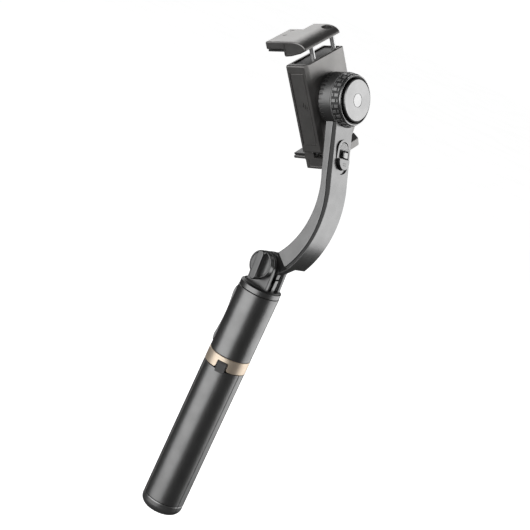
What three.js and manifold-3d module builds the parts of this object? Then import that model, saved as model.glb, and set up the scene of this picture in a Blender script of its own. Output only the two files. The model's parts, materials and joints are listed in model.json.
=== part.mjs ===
// Single-axis phone gimbal on a telescopic stick whose handle opens into a tripod.
//
// Frame: millimetres, +Z up along the handle, the origin on the handle's axis at the
// bottom of its feet. The motor's cap faces -Y, the phone sits on the +Y side, and the
// fold hinge of the arm runs along X.

import * as THREE from 'three';
import { ConvexGeometry } from 'three/addons/geometries/ConvexGeometry.js';
import { mergeVertices } from 'three/addons/utils/BufferGeometryUtils.js';
import Module from 'manifold-3d';

const wasm = await Module();
wasm.setup();

// ---------------------------------------------------------------- driving dimensions

const gap = 0.3; // clearance between neighbouring pieces
const sides = 36; // facets round the handle and the motor
const legAzimuths = [90, 210, 330]; // where the three leg knuckles sit, degrees from +X

const foot = { top: 9.2, corner: 6, inner: 12.4 };
const leg = {
  outer: 15.2,
  inner: 12.4,
  top: 117.1,
  rootInner: 9.6, // the leg is thicker where its knuckle grows out of it
  rootBottom: 104,
  rootTaper: 6,
};
const knuckle = { pivotRadius: 11.8, pivotHeight: 120.2, radius: 3.2, width: 6.8, webBottom: 108 };
const collar = { outer: 15.25, inner: 13.9, bottom: 117.5, top: 126.8, notchWidth: 8.2, notchTop: 123.7 };
const hub = { inner: 7.3, outer: 13.6, bottom: 117.8, top: 129.4, slotWidth: 7.4, slotInner: 8.2 };
const legPin = { radius: 0.8, halfLength: 5 };

const tube = { outer: 15.1, inner: 13.6, bottom: 127.1, top: 176.1 };
const core = { inner: 7.3, outer: 13.3, bottom: 129.7, top: 175.8 };

const remote = { halfWidth: 10.9, back: 9.3, bottom: 131.1, top: 172.9, waist: 15.15, bulge: 1.1, wall: 1.4 };
const remoteButton = { height: 143, radius: 4.4, inside: 12.2, face: 15.3 };

const poleSides = 24; // facets round each tube of the pole
const poleWall = 0.4;
const poleStep = 0.7; // each section is this much smaller in radius than the one outside it
const pole = { outer: 7, bottom: 6, top: 175.8, sections: 4 };

const cap = { outer: 14.9, bottom: 176.4, bandTop: 180, top: 181.2, topRadius: 13.4, socket: 4.5, socketTop: 180 };

const pivot = { height: 196, holeRadius: 2.3 }; // the arm's fold hinge, on the handle's axis
const yoke = { halfWidth: 8, base: 181.5, front: -10.6, rear: 8.6, ear: 9.7, slotHalf: 3.9, slotRadius: 10.2 };
const knob = { inside: 8.3, face: 12, grip: 15.6, radius: 9.6, gripWidth: 5.4 };
const bolt = { radius: 2, nutRadius: 3.9, nutInside: 5.6 };

const motorTilt = 69.6; // turns the motor's axis from +Z to its real direction, forward and up
const motor = { y: 29, height: 309.6 }; // where the motor's axis meets the phone's back plane
const clampRoll = 31.3; // the phone clamp's roll about the motor's axis
const clampDrop = 0.56; // the clamp's datum is this far below the motor's axis

// The arm lies in the YZ plane. Its heights count from its own datum, near the motor.
const armDatum = 309;
const arm = { halfWidth: 9, wall: 1.8, knuckleHalf: 3.6, knuckleRadius: 9.7, coverGap: 0.3 };
const innerEdge = { top: [4.1, -3.2], bend: [-11.1, -35.3], centre: [37.7, -65.3], radius: 57, end: [-6.9, -99.4] };
const seamEdge = { top: [-2.6, -1.6], bend: [-19.6, -41], centre: [35.5, -73], radius: 63.4, end: [-17.3, -106] };
const outerEdge = { top: [-5, -0.4], bend: [-23, -39.9], centre: [40.4, -71.4], radius: 70.6, end: [-20.7, -105.4] };
const channel = { top: -15.5, bottom: -92, halfWidth: 7.2 };

// The switch plate on the arm's outer face; distances along the arm count from its datum.
const switchDatum = { y: -7.4, z: -5.7, lean: 24.5 };
const switchPlate = { x: 0.8, start: 8, end: 31.4, halfWidth: 6.8, depth: 1.4 };
const lens = { start: 9, end: 14.9, halfWidth: 5.6 };
const slider = { start: 15.9, end: 20.1, x: 4, halfWidth: 2.4, slotStart: 15.3, slotEnd: 20.7, slotReach: 6.2 };
const powerKey = { start: 21.2, end: 28, halfWidth: 5.8 };

// Motor stack, heights along its axis from the phone's back plane.
const housing = { outer: 18.3, inner: 16.8, rear: 20.2, front: 30, plate: 1.4, tubeInner: 4.4, tubeOuter: 5.4 };
const housingTubeRear = 22.4;
const bell = { outer: 16.4, inner: 15.4, rear: 18.9, plateFront: 20.6, front: 28.1, boss: 3.8, bossFront: 22 };
const magnet = { outer: 15.1, inner: 13.9, rear: 21.2, front: 27.7 };
const stator = { outer: 13.5, inner: 5.7, yoke: 8.4, rear: 22.8, front: 27.6, teeth: 9 };
const shaft = { radius: 1.5, rear: 18.9, front: 29.4 };
const bearing = { outer: 4.1, inner: 1.8, width: 2.5, rear: 22.7, front: 26 };
const trimRing = { rear: 30.3, front: 37.5, outer: 18.2, rim: 16.7, inner: 14.9 };
const motorCap = { outer: 14.2, rear: 30.9, edge: 38.6, front: 39.2, wall: 1.5, face: 1.6 };
const driverBoard = { radius: 12.3, rear: 31.4, thickness: 1.2, chip: [7, 6, 1.4] };

// Phone clamp: x along the phone, y up its width, z along the motor's axis.
const phone = { top: 39, bottom: -32.6 };
const body = { half: 21, top: 31, bottom: -30.5, rear: 1.8, front: 18.6, cutWidth: 7, cutHeight: 6.5 };
const bodyWall = { side: 1.8, front: 1.2 };
const backPlate = { rear: 1.9, front: 3.5 };
const pad = { halfX: 16, halfY: 24, thickness: 1.5, corner: 4 };
const sidePanel = { top: 25.5, bottom: -25, rear: 3, front: 14, depth: 0.9 };
const rod = { centre: 3.3, spacing: 22.6, z: 15.4, radius: 1.6, top: 42.5, bottom: -17.7 };
const bridge = { overhang: 2, top: -18, bottom: -20, rear: 7.2, front: 17 };
const spring = { z: 11.3, radius: 3.4, wire: 0.45, bottom: -17.2, top: 28.4, turns: 10, stepsPerTurn: 8 };
const jaw = { half: 18.8, lipEnd: 6.4, lipTip: -14, lipUnder: 41, top: 46.2, bottom: 36, front: 19.3 };
const lowerJaw = { half: 18.5, lipTip: -9.5, lipTop: -34.4, lipUnder: -36.6, bottom: -43.3, front: 19.5 };
const jawPad = { thickness: 1.4 };

// ---------------------------------------------------------------- materials

function finish(color, roughness, metalness) {
  return () => new THREE.MeshStandardMaterial({ color, roughness, metalness });
}

const charcoal = finish(0x3b3b3c, 0.45, 0.1);
const greyPlastic = finish(0x8c8c8c, 0.5, 0.1);
const paleGrey = finish(0xb4b4b4, 0.45, 0.2);
const blackPlastic = finish(0x1c1c1d, 0.4, 0.0);
const champagne = finish(0xd9b78c, 0.3, 0.9);
const blackRubber = finish(0x232323, 0.85, 0.0);
const chrome = finish(0xd8dade, 0.15, 1.0);
const steel = finish(0x9a9ca0, 0.35, 1.0);
const copper = finish(0xb06a3a, 0.4, 1.0);
const magnetBlack = finish(0x2b2d31, 0.5, 0.6);
const boardGreen = finish(0x1f5a3a, 0.6, 0.0);
const cellBlue = finish(0x3b6ea8, 0.5, 0.1);
const milkyLens = finish(0xcfd3d6, 0.3, 0.0);

// ---------------------------------------------------------------- solid modelling helpers

function degrees(angle) {
  return THREE.MathUtils.degToRad(angle);
}

// Keeps positions only, merges shared vertices and drops triangles that have collapsed.
function closedMesh(geometry) {
  const copy = geometry.clone();
  copy.deleteAttribute('normal');
  copy.deleteAttribute('uv');
  const merged = mergeVertices(copy, 1e-4);
  const index = merged.index.array;
  const kept = [];
  for (let i = 0; i < index.length; i += 3) {
    const [a, b, c] = [index[i], index[i + 1], index[i + 2]];
    if (a !== b && b !== c && c !== a) kept.push(a, b, c);
  }
  merged.setIndex(kept);
  return merged;
}

function toSolid(geometry) {
  const merged = closedMesh(geometry);
  const vertProperties = new Float32Array(merged.attributes.position.array);
  const triVerts = new Uint32Array(merged.index.array);
  return new wasm.Manifold(new wasm.Mesh({ numProp: 3, vertProperties, triVerts }));
}

function toGeometry(solid) {
  const { vertProperties, triVerts } = solid.getMesh();
  const geometry = new THREE.BufferGeometry();
  geometry.setAttribute('position', new THREE.BufferAttribute(new Float32Array(vertProperties), 3));
  geometry.setIndex(new THREE.BufferAttribute(new Uint32Array(triVerts), 1));
  geometry.computeVertexNormals();
  return geometry;
}

function join(first, ...others) {
  return toGeometry(others.reduce((sum, other) => sum.add(toSolid(other)), toSolid(first)));
}

function cut(first, ...tools) {
  return toGeometry(tools.reduce((rest, tool) => rest.subtract(toSolid(tool)), toSolid(first)));
}

function common(first, second) {
  return toGeometry(toSolid(first).intersect(toSolid(second)));
}

// A box between two corners.
function block(low, high) {
  const size = high.map((value, axis) => value - low[axis]);
  const middle = high.map((value, axis) => (value + low[axis]) / 2);
  return new THREE.BoxGeometry(...size).translate(...middle);
}

// Turns a closed profile of [radius, height] points, listed anticlockwise, round the Z axis.
function turned(profile, segments = sides) {
  const points = [...profile, profile[0]].map(([radius, height]) => new THREE.Vector2(radius, height));
  return new THREE.LatheGeometry(points, segments).rotateX(Math.PI / 2);
}

function ring(inner, outer, bottom, top, segments = sides) {
  return turned([[outer, bottom], [outer, top], [inner, top], [inner, bottom]], segments);
}

// A solid of revolution whose profile starts and ends on the axis.
function spun(profile, segments = sides) {
  const points = profile.map(([radius, height]) => new THREE.Vector2(radius, height));
  return new THREE.LatheGeometry(points, segments).rotateX(Math.PI / 2);
}

function rodAlongZ(radius, bottom, top, segments = 20) {
  return spun([[0, bottom], [radius, bottom], [radius, top], [0, top]], segments);
}

function rodAlongX(radius, from, to, y, z, segments = 20) {
  return rodAlongZ(radius, from, to, segments).rotateY(Math.PI / 2).translate(0, y, z);
}

function shapeOf(points) {
  return new THREE.Shape(points.map(([x, y]) => new THREE.Vector2(x, y)));
}

function prism(shape, from, to, curveSegments = 12) {
  const options = { depth: to - from, bevelEnabled: false, curveSegments };
  return new THREE.ExtrudeGeometry(shape, options).translate(0, 0, from);
}

// Extrudes a profile drawn in the YZ plane along X.
function prismAlongX(shape, from, to, curveSegments = 12) {
  const yzToX = new THREE.Matrix4().makeBasis(
    new THREE.Vector3(0, 1, 0),
    new THREE.Vector3(0, 0, 1),
    new THREE.Vector3(1, 0, 0),
  );
  return prism(shape, from, to, curveSegments).applyMatrix4(yzToX);
}

function roundedRectangle(halfX, halfY, radius) {
  const shape = new THREE.Shape();
  shape.absarc(halfX - radius, halfY - radius, radius, 0, Math.PI / 2);
  shape.absarc(-halfX + radius, halfY - radius, radius, Math.PI / 2, Math.PI);
  shape.absarc(-halfX + radius, -halfY + radius, radius, Math.PI, 1.5 * Math.PI);
  shape.absarc(halfX - radius, -halfY + radius, radius, 1.5 * Math.PI, 2 * Math.PI);
  shape.closePath();
  return shape;
}

function addPiece(group, name, geometry, material) {
  const mesh = new THREE.Mesh(geometry, material());
  mesh.name = name;
  group.add(mesh);
  return mesh;
}

// ---------------------------------------------------------------- tripod legs

// One third of a full turn about +X, with half a gap kept clear along each side.
function legSector(bottom, top) {
  const apex = gap / 2 / Math.sin(degrees(60));
  const reach = 40;
  const [dx, dy] = [reach * Math.cos(degrees(60)), reach * Math.sin(degrees(60))];
  return prism(shapeOf([[apex, 0], [apex + dx, -dy], [apex + dx, dy]]), bottom, top);
}

// The barrel-shaped space that the collar's lobes sweep through as a leg opens.
function lobeSweep() {
  const rise = knuckle.pivotHeight - collar.bottom;
  const reachAt = (offset) => {
    const lobe = Math.sqrt(collar.outer ** 2 - offset ** 2) - knuckle.pivotRadius;
    return Math.hypot(Math.max(lobe, 0), rise) + gap;
  };
  const half = [0, 4.1, 6, 8, 9.5, 14].map((offset) => [reachAt(offset), offset]);
  const mirrored = half.slice(1).reverse().map(([radius, offset]) => [radius, -offset]);
  const profile = [[0, -14], ...mirrored, ...half, [0, 14]];
  return spun(profile, 32).rotateX(Math.PI / 2).translate(knuckle.pivotRadius, 0, knuckle.pivotHeight);
}

function knuckleProfile() {
  const { pivotRadius, pivotHeight, radius, webBottom } = knuckle;
  const shape = new THREE.Shape();
  shape.moveTo(pivotRadius - radius, webBottom);
  shape.lineTo(pivotRadius + radius - 0.2, webBottom);
  shape.lineTo(pivotRadius + radius, pivotHeight);
  shape.absarc(pivotRadius, pivotHeight, radius, 0, Math.PI);
  shape.closePath();
  return shape;
}

function legGeometry() {
  const { outer, inner, top, rootInner, rootBottom, rootTaper } = leg;
  const bottom = foot.top + gap;
  const shell = turned([
    [outer, bottom],
    [outer, top],
    [rootInner, top],
    [rootInner, rootBottom],
    [inner, rootBottom - rootTaper],
    [inner, bottom],
  ]);
  const third = common(shell, legSector(bottom - 1, top + 1));
  const half = knuckle.width / 2;
  const profile = knuckleProfile();
  const radialToX = new THREE.Matrix4().makeRotationX(Math.PI / 2);
  const tab = prism(profile, -half, half).applyMatrix4(radialToX);
  const pinHole = prism(circleShape(knuckle.pivotRadius, knuckle.pivotHeight, legPin.radius + gap), -9, 9);
  return cut(join(cut(third, lobeSweep()), tab), pinHole.applyMatrix4(radialToX));
}

function circleShape(x, y, radius) {
  const shape = new THREE.Shape();
  shape.absarc(x, y, radius, 0, 2 * Math.PI);
  return shape;
}

function footGeometry() {
  const { top, corner, inner } = foot;
  const outer = leg.outer;
  const profile = [[inner, top]];
  profile.push([inner, 3], [4, 2.4], [4, 0]);
  for (let step = 0; step <= 5; step += 1) {
    const angle = (step / 5) * (Math.PI / 2);
    profile.push([outer - corner + corner * Math.sin(angle), corner - corner * Math.cos(angle)]);
  }
  profile.push([outer, top]);
  return common(turned(profile), legSector(-1, top + 1));
}

function legPinGeometry() {
  const { pivotRadius, pivotHeight } = knuckle;
  const { radius, halfLength } = legPin;
  const pin = rodAlongZ(radius, -halfLength, halfLength, 12);
  return pin.rotateX(Math.PI / 2).translate(pivotRadius, 0, pivotHeight);
}

function addLegs(group) {
  legAzimuths.forEach((azimuth, index) => {
    const turn = new THREE.Group();
    turn.rotation.z = degrees(azimuth);
    group.add(turn);
    addPiece(turn, `leg_${index + 1}`, legGeometry(), charcoal);
    addPiece(turn, `foot_${index + 1}`, footGeometry(), blackRubber);
    addPiece(turn, `leg_pin_${index + 1}`, legPinGeometry(), steel);
  });
}

// ---------------------------------------------------------------- handle

// Repeats a cutting tool drawn on +X at each leg's azimuth.
function atEachLeg(makeTool) {
  return legAzimuths.map((azimuth) => makeTool().rotateZ(degrees(azimuth)));
}

function collarGeometry() {
  const { inner, outer, bottom, top, notchWidth, notchTop } = collar;
  const notch = () => block([5, -notchWidth / 2, bottom - 1], [20, notchWidth / 2, notchTop]);
  return cut(ring(inner, outer, bottom, top), ...atEachLeg(notch));
}

function hubGeometry() {
  const { inner, outer, bottom, top, slotWidth, slotInner } = hub;
  const { pivotRadius, pivotHeight, radius } = knuckle;
  const slotTop = pivotHeight + radius + 0.4;
  const slot = () => block([slotInner, -slotWidth / 2, bottom - 1], [20, slotWidth / 2, slotTop]);
  const bore = () => {
    const reach = legPin.halfLength + gap;
    const hole = rodAlongZ(legPin.radius + gap, -reach, reach, 12);
    return hole.rotateX(Math.PI / 2).translate(pivotRadius, 0, pivotHeight);
  };
  return cut(ring(inner, outer, bottom, top), ...atEachLeg(slot), ...atEachLeg(bore));
}

function remotePocket() {
  const { halfWidth, back, bottom, top } = remote;
  return block([-halfWidth - gap, back - gap, bottom - gap], [halfWidth + gap, 20, top + gap]);
}

function addHandle(group) {
  const shell = cut(ring(tube.inner, tube.outer, tube.bottom, tube.top), remotePocket());
  addPiece(group, 'handle_tube', shell, charcoal);
  addPiece(group, 'handle_core', cut(ring(core.inner, core.outer, core.bottom, core.top), remotePocket()), blackPlastic);
  addPiece(group, 'handle_collar', collarGeometry(), champagne);
  addPiece(group, 'leg_hub', hubGeometry(), blackPlastic);
  addPiece(group, 'pole_sleeve', ring(pole.outer - poleWall, pole.outer, pole.bottom, pole.top, poleSides), steel);
}

// ---------------------------------------------------------------- detachable remote

// The remote's outer face follows the handle but swells towards both of its ends.
function remoteFace(inset) {
  const { bottom, top, waist, bulge } = remote;
  const middle = (bottom + top) / 2;
  const half = (top - bottom) / 2;
  const rings = 10;
  const profile = [[0, bottom + inset]];
  for (let step = 0; step <= rings; step += 1) {
    const offset = (step / rings) * 2 - 1;
    const endRounding = 0.5 * Math.max(0, Math.abs(offset) - 0.8) / 0.2;
    const radius = waist + bulge * Math.min(1, (offset / 0.75) ** 2) - endRounding;
    profile.push([radius - inset, middle + offset * (half - inset)]);
  }
  profile.push([0, top - inset]);
  return spun(profile);
}

function remoteShellGeometry() {
  const { halfWidth, back, bottom, top, wall } = remote;
  const outside = common(remoteFace(0), block([-halfWidth, back, bottom], [halfWidth, 20, top]));
  const room = halfWidth - wall;
  const inside = common(remoteFace(wall), block([-room, back - 1, bottom], [room, 20, top]));
  const { height, radius } = remoteButton;
  const keyHole = rodAlongZ(radius + gap, -20, -8).rotateX(Math.PI / 2).translate(0, 0, height);
  return cut(outside, inside, keyHole);
}

function addRemote(group) {
  const { halfWidth, back, bottom, top, wall } = remote;
  const room = halfWidth - wall - gap;
  const [low, high] = [bottom + wall + gap, top - wall - gap];
  const { height, radius, inside, face } = remoteButton;
  const cell = rodAlongZ(6.2, -12.3, -10.5, 24).rotateX(Math.PI / 2).translate(0, 0, 161.5);
  const key = rodAlongZ(radius, -face, -inside, 24).rotateX(Math.PI / 2).translate(0, 0, height);
  addPiece(group, 'remote_shell', remoteShellGeometry(), charcoal);
  addPiece(group, 'remote_back', block([-room, back, low], [room, back + 0.9, high]), charcoal);
  addPiece(group, 'remote_board', block([-6, 10.5, 134.5], [6, 11.3, 153]), boardGreen);
  addPiece(group, 'remote_cell', cell, steel);
  addPiece(group, 'remote_button', key, blackPlastic);
}

// ---------------------------------------------------------------- telescopic pole and neck

function addPole(group) {
  for (let section = 1; section <= pole.sections; section += 1) {
    const outer = pole.outer - section * poleStep;
    const top = section === pole.sections ? cap.socketTop - gap : pole.top;
    addPiece(group, `pole_section_${section}`, ring(outer - poleWall, outer, pole.bottom, top, poleSides), chrome);
  }
}

function capGeometry() {
  const { outer, bottom, bandTop, top, topRadius, socket, socketTop } = cap;
  return spun([
    [0, socketTop],
    [socket, socketTop],
    [socket, bottom],
    [outer - 0.4, bottom],
    [outer, bottom + 0.5],
    [outer, bandTop],
    [outer - 0.7, bandTop + 0.4],
    [topRadius, top],
    [0, top],
  ]);
}

function yokeProfile() {
  const { base, front, rear, ear } = yoke;
  const shape = new THREE.Shape();
  shape.moveTo(front, base);
  shape.lineTo(rear, base);
  shape.lineTo(ear, pivot.height);
  shape.absarc(0, pivot.height, ear, 0, Math.PI);
  shape.closePath();
  return shape;
}

function yokeGeometry() {
  const { halfWidth, slotHalf, slotRadius } = yoke;
  const blank = prismAlongX(yokeProfile(), -halfWidth, halfWidth, 20);
  const slot = block([-slotHalf, -15, pivot.height - slotRadius], [slotHalf, 15, pivot.height + 15]);
  const bore = rodAlongX(pivot.holeRadius, -10, 10, 0, pivot.height);
  const nutSeat = rodAlongX(bolt.nutRadius + gap, bolt.nutInside - gap, 10, 0, pivot.height, 6);
  return cut(blank, slot, bore, nutSeat);
}

function knobGeometry() {
  const { inside, face, grip, radius, gripWidth } = knob;
  const disc = rodAlongX(radius, -face, -inside, 0, pivot.height, 36);
  const outline = new THREE.Shape();
  const reach = radius - gripWidth / 2 + 0.2;
  outline.absarc(0, pivot.height + reach, gripWidth / 2, 0, Math.PI);
  outline.absarc(0, pivot.height - reach, gripWidth / 2, Math.PI, 2 * Math.PI);
  outline.closePath();
  const bar = prismAlongX(outline, -grip, -face + 0.5, 6);
  const bore = rodAlongX(bolt.radius + gap, -face - 0.6, -inside + 1, 0, pivot.height);
  return cut(join(disc, bar), bore);
}

function boltGeometry() {
  return rodAlongX(bolt.radius, -knob.face - 0.3, yoke.halfWidth - 0.4, 0, pivot.height);
}

function nutGeometry() {
  const blank = rodAlongX(bolt.nutRadius, bolt.nutInside, yoke.halfWidth, 0, pivot.height, 6);
  return cut(blank, rodAlongX(bolt.radius + gap, 0, 10, 0, pivot.height));
}

function addNeck(group) {
  addPiece(group, 'top_cap', capGeometry(), charcoal);
  addPiece(group, 'hinge_yoke', yokeGeometry(), blackPlastic);
  addPiece(group, 'hinge_knob', knobGeometry(), greyPlastic);
  addPiece(group, 'hinge_bolt', boltGeometry(), steel);
  addPiece(group, 'hinge_nut', nutGeometry(), steel);
}

// ---------------------------------------------------------------- arm

function angleAbout(centre, point) {
  return Math.atan2(point[1] - centre[1], point[0] - centre[0]);
}

// Each long edge of the arm runs straight from its top to the bend and then round its bow.
// An offset moves the whole edge outwards from the bow's centre.
function bendPoint({ centre, radius, bend }, offset) {
  const angle = angleAbout(centre, bend);
  const reach = radius + offset;
  return [centre[0] + reach * Math.cos(angle), centre[1] + reach * Math.sin(angle)];
}

// The closed outline between two such edges, down the near one and back up the far one.
function edgePair(near, far, nearOffset, farOffset) {
  const [nearBend, nearEnd] = [angleAbout(near.centre, near.bend), angleAbout(near.centre, near.end)];
  const [farBend, farEnd] = [angleAbout(far.centre, far.bend), angleAbout(far.centre, far.end)];
  const shape = new THREE.Shape();
  shape.moveTo(near.top[0] - nearOffset, near.top[1]);
  shape.lineTo(...bendPoint(near, nearOffset));
  shape.absarc(...near.centre, near.radius + nearOffset, nearBend, nearEnd, false);
  shape.absarc(...far.centre, far.radius + farOffset, farEnd, farBend, true);
  shape.lineTo(far.top[0] - farOffset, far.top[1]);
  shape.closePath();
  return shape;
}

const armTurns = 12; // facets along each arc of the arm

// The hollow in the arm shell, open towards its cover.
function channelGeometry() {
  const hollow = edgePair(innerEdge, outerEdge, arm.wall, 4);
  const whole = prismAlongX(hollow, -channel.halfWidth, channel.halfWidth, armTurns);
  return common(whole, block([-10, -60, channel.bottom], [10, 60, channel.top]));
}

// The tongue that swings between the yoke's ears.
function tongueGeometry() {
  const shape = new THREE.Shape();
  const height = pivot.height - armDatum;
  shape.moveTo(-8.2, -100.5);
  shape.lineTo(-3.4, height + 9.1);
  shape.absarc(0, height, arm.knuckleRadius, degrees(110.5), degrees(200), true);
  shape.lineTo(-18.5, -106.4);
  shape.closePath();
  return prismAlongX(shape, -arm.knuckleHalf, arm.knuckleHalf, 24);
}

// The flanks that narrow the arm from its full width down to the tongue.
function flankGeometry() {
  const points = [];
  [-1, 1].forEach((side) => {
    const wide = side * arm.halfWidth;
    const narrow = side * arm.knuckleHalf;
    points.push(new THREE.Vector3(wide, -7.6, -100.4), new THREE.Vector3(wide, -17.2, -105.6));
    points.push(new THREE.Vector3(wide, -12, -101), new THREE.Vector3(narrow, -9, -105));
    points.push(new THREE.Vector3(narrow, -11.5, -113), new THREE.Vector3(narrow, -17, -107.5));
  });
  return new ConvexGeometry(points);
}

function armShellGeometry() {
  const { halfWidth } = arm;
  const height = pivot.height - armDatum;
  const beam = prismAlongX(edgePair(innerEdge, seamEdge, 0, 0), -halfWidth, halfWidth, armTurns);
  const whole = join(beam, tongueGeometry(), flankGeometry());
  const earClearance = yoke.ear + 0.7;
  const ears = [-1, 1].map((side) => {
    const [near, far] = [side * arm.knuckleHalf, side * 12];
    return rodAlongX(earClearance, Math.min(near, far), Math.max(near, far), 0, height, 32);
  });
  const bore = rodAlongX(bolt.radius + gap, -6, 6, 0, height);
  return cut(whole, channelGeometry(), ...ears, bore, motorBore());
}

// The round space that the motor's housing takes out of the arm's upper end.
function motorBore() {
  const bore = rodAlongZ(housing.outer + gap, 10, 50, sides);
  return bore.rotateX(degrees(motorTilt)).translate(0, motor.y, motor.height - armDatum);
}

// Carries a solid drawn with y along the arm and z out of it onto the arm's outer face.
function onSwitchFace(geometry) {
  const lean = degrees(switchDatum.lean);
  const along = new THREE.Vector3(0, -Math.sin(lean), -Math.cos(lean));
  const outward = new THREE.Vector3(0, -Math.cos(lean), Math.sin(lean));
  const across = new THREE.Vector3().crossVectors(along, outward);
  const matrix = new THREE.Matrix4().makeBasis(across, along, outward);
  matrix.setPosition(0, switchDatum.y, switchDatum.z);
  return geometry.applyMatrix4(matrix);
}

function pillShape(x, start, end, halfWidth) {
  const shape = new THREE.Shape();
  shape.absarc(x, end - halfWidth, halfWidth, 0, Math.PI);
  shape.absarc(x, start + halfWidth, halfWidth, Math.PI, 2 * Math.PI);
  shape.closePath();
  return shape;
}

// Across runs from +X to -X on the switch face, so a place on X changes sign there.
const switchX = -switchPlate.x;

function armCoverGeometry() {
  const { coverGap } = arm;
  const plate = prismAlongX(edgePair(seamEdge, outerEdge, coverGap, 0), -arm.halfWidth, arm.halfWidth, armTurns);
  const { start, end, halfWidth } = switchPlate;
  const opening = prism(pillShape(switchX, start, end, halfWidth), -8, 4, 10);
  return cut(plate, onSwitchFace(opening), motorBore());
}

function switchPlateGeometry() {
  const { start, end, halfWidth, depth } = switchPlate;
  const blank = prism(pillShape(switchX, start + gap, end - gap, halfWidth - gap), -2.6, -depth, 10);
  const keyHole = prism(keyShape(gap), -8, 4, 10);
  const { slotStart, slotEnd, slotReach } = slider;
  const slot = block([switchX - slotReach, slotStart, -8], [switchX + slotReach - 1, slotEnd, 4]);
  return onSwitchFace(cut(blank, keyHole, slot));
}

function lensShape() {
  const shape = new THREE.Shape();
  shape.moveTo(switchX - lens.halfWidth, lens.end);
  shape.absarc(switchX, lens.end, lens.halfWidth, Math.PI, 2 * Math.PI);
  shape.closePath();
  return shape;
}

// The power key's outline: straight across its upper side and round below.
function keyShape(margin) {
  const { start, end, halfWidth } = powerKey;
  const wide = halfWidth + margin;
  const shape = new THREE.Shape();
  shape.moveTo(switchX - wide, start - margin);
  shape.lineTo(switchX + wide, start - margin);
  shape.absellipse(switchX, end - 5.6, wide, 5.6 + margin, 0, Math.PI);
  shape.closePath();
  return shape;
}

function addSwitches(group) {
  const { start, end, x, halfWidth } = slider;
  const nub = block([-x - halfWidth, start, -2.4], [-x + halfWidth, end, -0.1]);
  addPiece(group, 'switch_plate', switchPlateGeometry(), blackPlastic);
  addPiece(group, 'status_lens', onSwitchFace(prism(lensShape(), -1.1, -0.3, 10)), milkyLens);
  addPiece(group, 'mode_slider', onSwitchFace(nub), paleGrey);
  addPiece(group, 'power_button', onSwitchFace(prism(keyShape(0), -2.9, 0.3, 10)), greyPlastic);
  addPiece(group, 'switch_board', onSwitchFace(block([-6, 12, -5.4], [6, 30, -4.4])), boardGreen);
}

function batteryGeometry() {
  const { centre, radius } = innerEdge;
  const cell = new THREE.BoxGeometry(12.6, 4, 24);
  const lean = degrees(3);
  return cell.rotateX(lean).translate(0, centre[0] - radius - 4.8, centre[1] - 7);
}

function addArm(group) {
  const frame = new THREE.Group();
  frame.position.set(0, 0, armDatum);
  group.add(frame);
  addPiece(frame, 'arm_shell', armShellGeometry(), greyPlastic);
  addPiece(frame, 'arm_cover', armCoverGeometry(), paleGrey);
  addPiece(frame, 'arm_battery', batteryGeometry(), cellBlue);
  addSwitches(frame);
}

// ---------------------------------------------------------------- motor

function housingGeometry() {
  const { outer, inner, rear, front, plate, tubeInner, tubeOuter } = housing;
  return turned([
    [inner, rear],
    [outer, rear],
    [outer, front],
    [tubeInner, front],
    [tubeInner, housingTubeRear],
    [tubeOuter, housingTubeRear],
    [tubeOuter, front - plate],
    [inner, front - plate],
  ]);
}

function bellGeometry() {
  const { outer, inner, rear, plateFront, front, boss, bossFront } = bell;
  const bore = shaft.radius + gap;
  return turned([
    [bore, rear],
    [outer, rear],
    [outer, front],
    [inner, front],
    [inner, plateFront],
    [boss, plateFront],
    [boss, bossFront],
    [bore, bossFront],
  ]);
}

// A ring of lamination with T-shaped teeth, each wide at its tip under the magnets.
function statorGeometry() {
  const { outer, inner, yoke: yokeRadius, rear, front, teeth } = stator;
  const centre = ring(inner, yokeRadius, rear, front, 36);
  const pieces = [];
  for (let tooth = 0; tooth < teeth; tooth += 1) {
    const angle = (tooth / teeth) * 2 * Math.PI;
    const stem = block([yokeRadius - 0.6, -1.5, rear], [outer - 1, 1.5, front]);
    const tip = block([outer - 1.6, -3.4, rear], [outer - 0.4, 3.4, front]);
    pieces.push(stem.rotateZ(angle), tip.rotateZ(angle));
  }
  return join(centre, ...pieces);
}

function driverBoardGeometry() {
  const { radius, rear, thickness, chip } = driverBoard;
  const plate = rodAlongZ(radius, rear, rear + thickness, 32);
  const [width, height, depth] = chip;
  const front = rear + thickness;
  const driver = block([-9, -height / 2, front - 0.2], [-9 + width, height / 2, front + depth]);
  const sensor = block([3, 2, front - 0.2], [7, 6, front + 0.9]);
  return join(plate, driver, sensor);
}

function motorCapGeometry() {
  const { outer, rear, edge, front, wall, face } = motorCap;
  return spun([
    [0, front - face],
    [outer - wall, front - face],
    [outer - wall, rear],
    [outer, rear],
    [outer, edge],
    [outer - 0.6, front - 0.1],
    [0, front],
  ]);
}

function addMotor(frame) {
  const { rear, front, outer, rim, inner } = trimRing;
  const { width } = bearing;
  addPiece(frame, 'motor_housing', housingGeometry(), blackPlastic);
  addPiece(frame, 'trim_ring', turned([[inner, rear], [outer, rear], [rim, front], [inner, front]]), charcoal);
  addPiece(frame, 'motor_cap', motorCapGeometry(), paleGrey);
  addPiece(frame, 'driver_board', driverBoardGeometry(), boardGreen);
  addPiece(frame, 'motor_stator', statorGeometry(), copper);
  addPiece(frame, 'bearing_rear', ring(bearing.inner, bearing.outer, bearing.rear, bearing.rear + width, 24), steel);
  addPiece(frame, 'bearing_front', ring(bearing.inner, bearing.outer, bearing.front, bearing.front + width, 24), steel);
}

function addRotor(frame) {
  addPiece(frame, 'rotor_bell', bellGeometry(), blackPlastic);
  addPiece(frame, 'rotor_magnet', ring(magnet.inner, magnet.outer, magnet.rear, magnet.front), magnetBlack);
  addPiece(frame, 'motor_shaft', rodAlongZ(shaft.radius, shaft.rear, shaft.front), chrome);
}

// ---------------------------------------------------------------- phone clamp

function rodPlaces() {
  return [-1, 1].map((side) => rod.centre + (side * rod.spacing) / 2);
}

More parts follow.
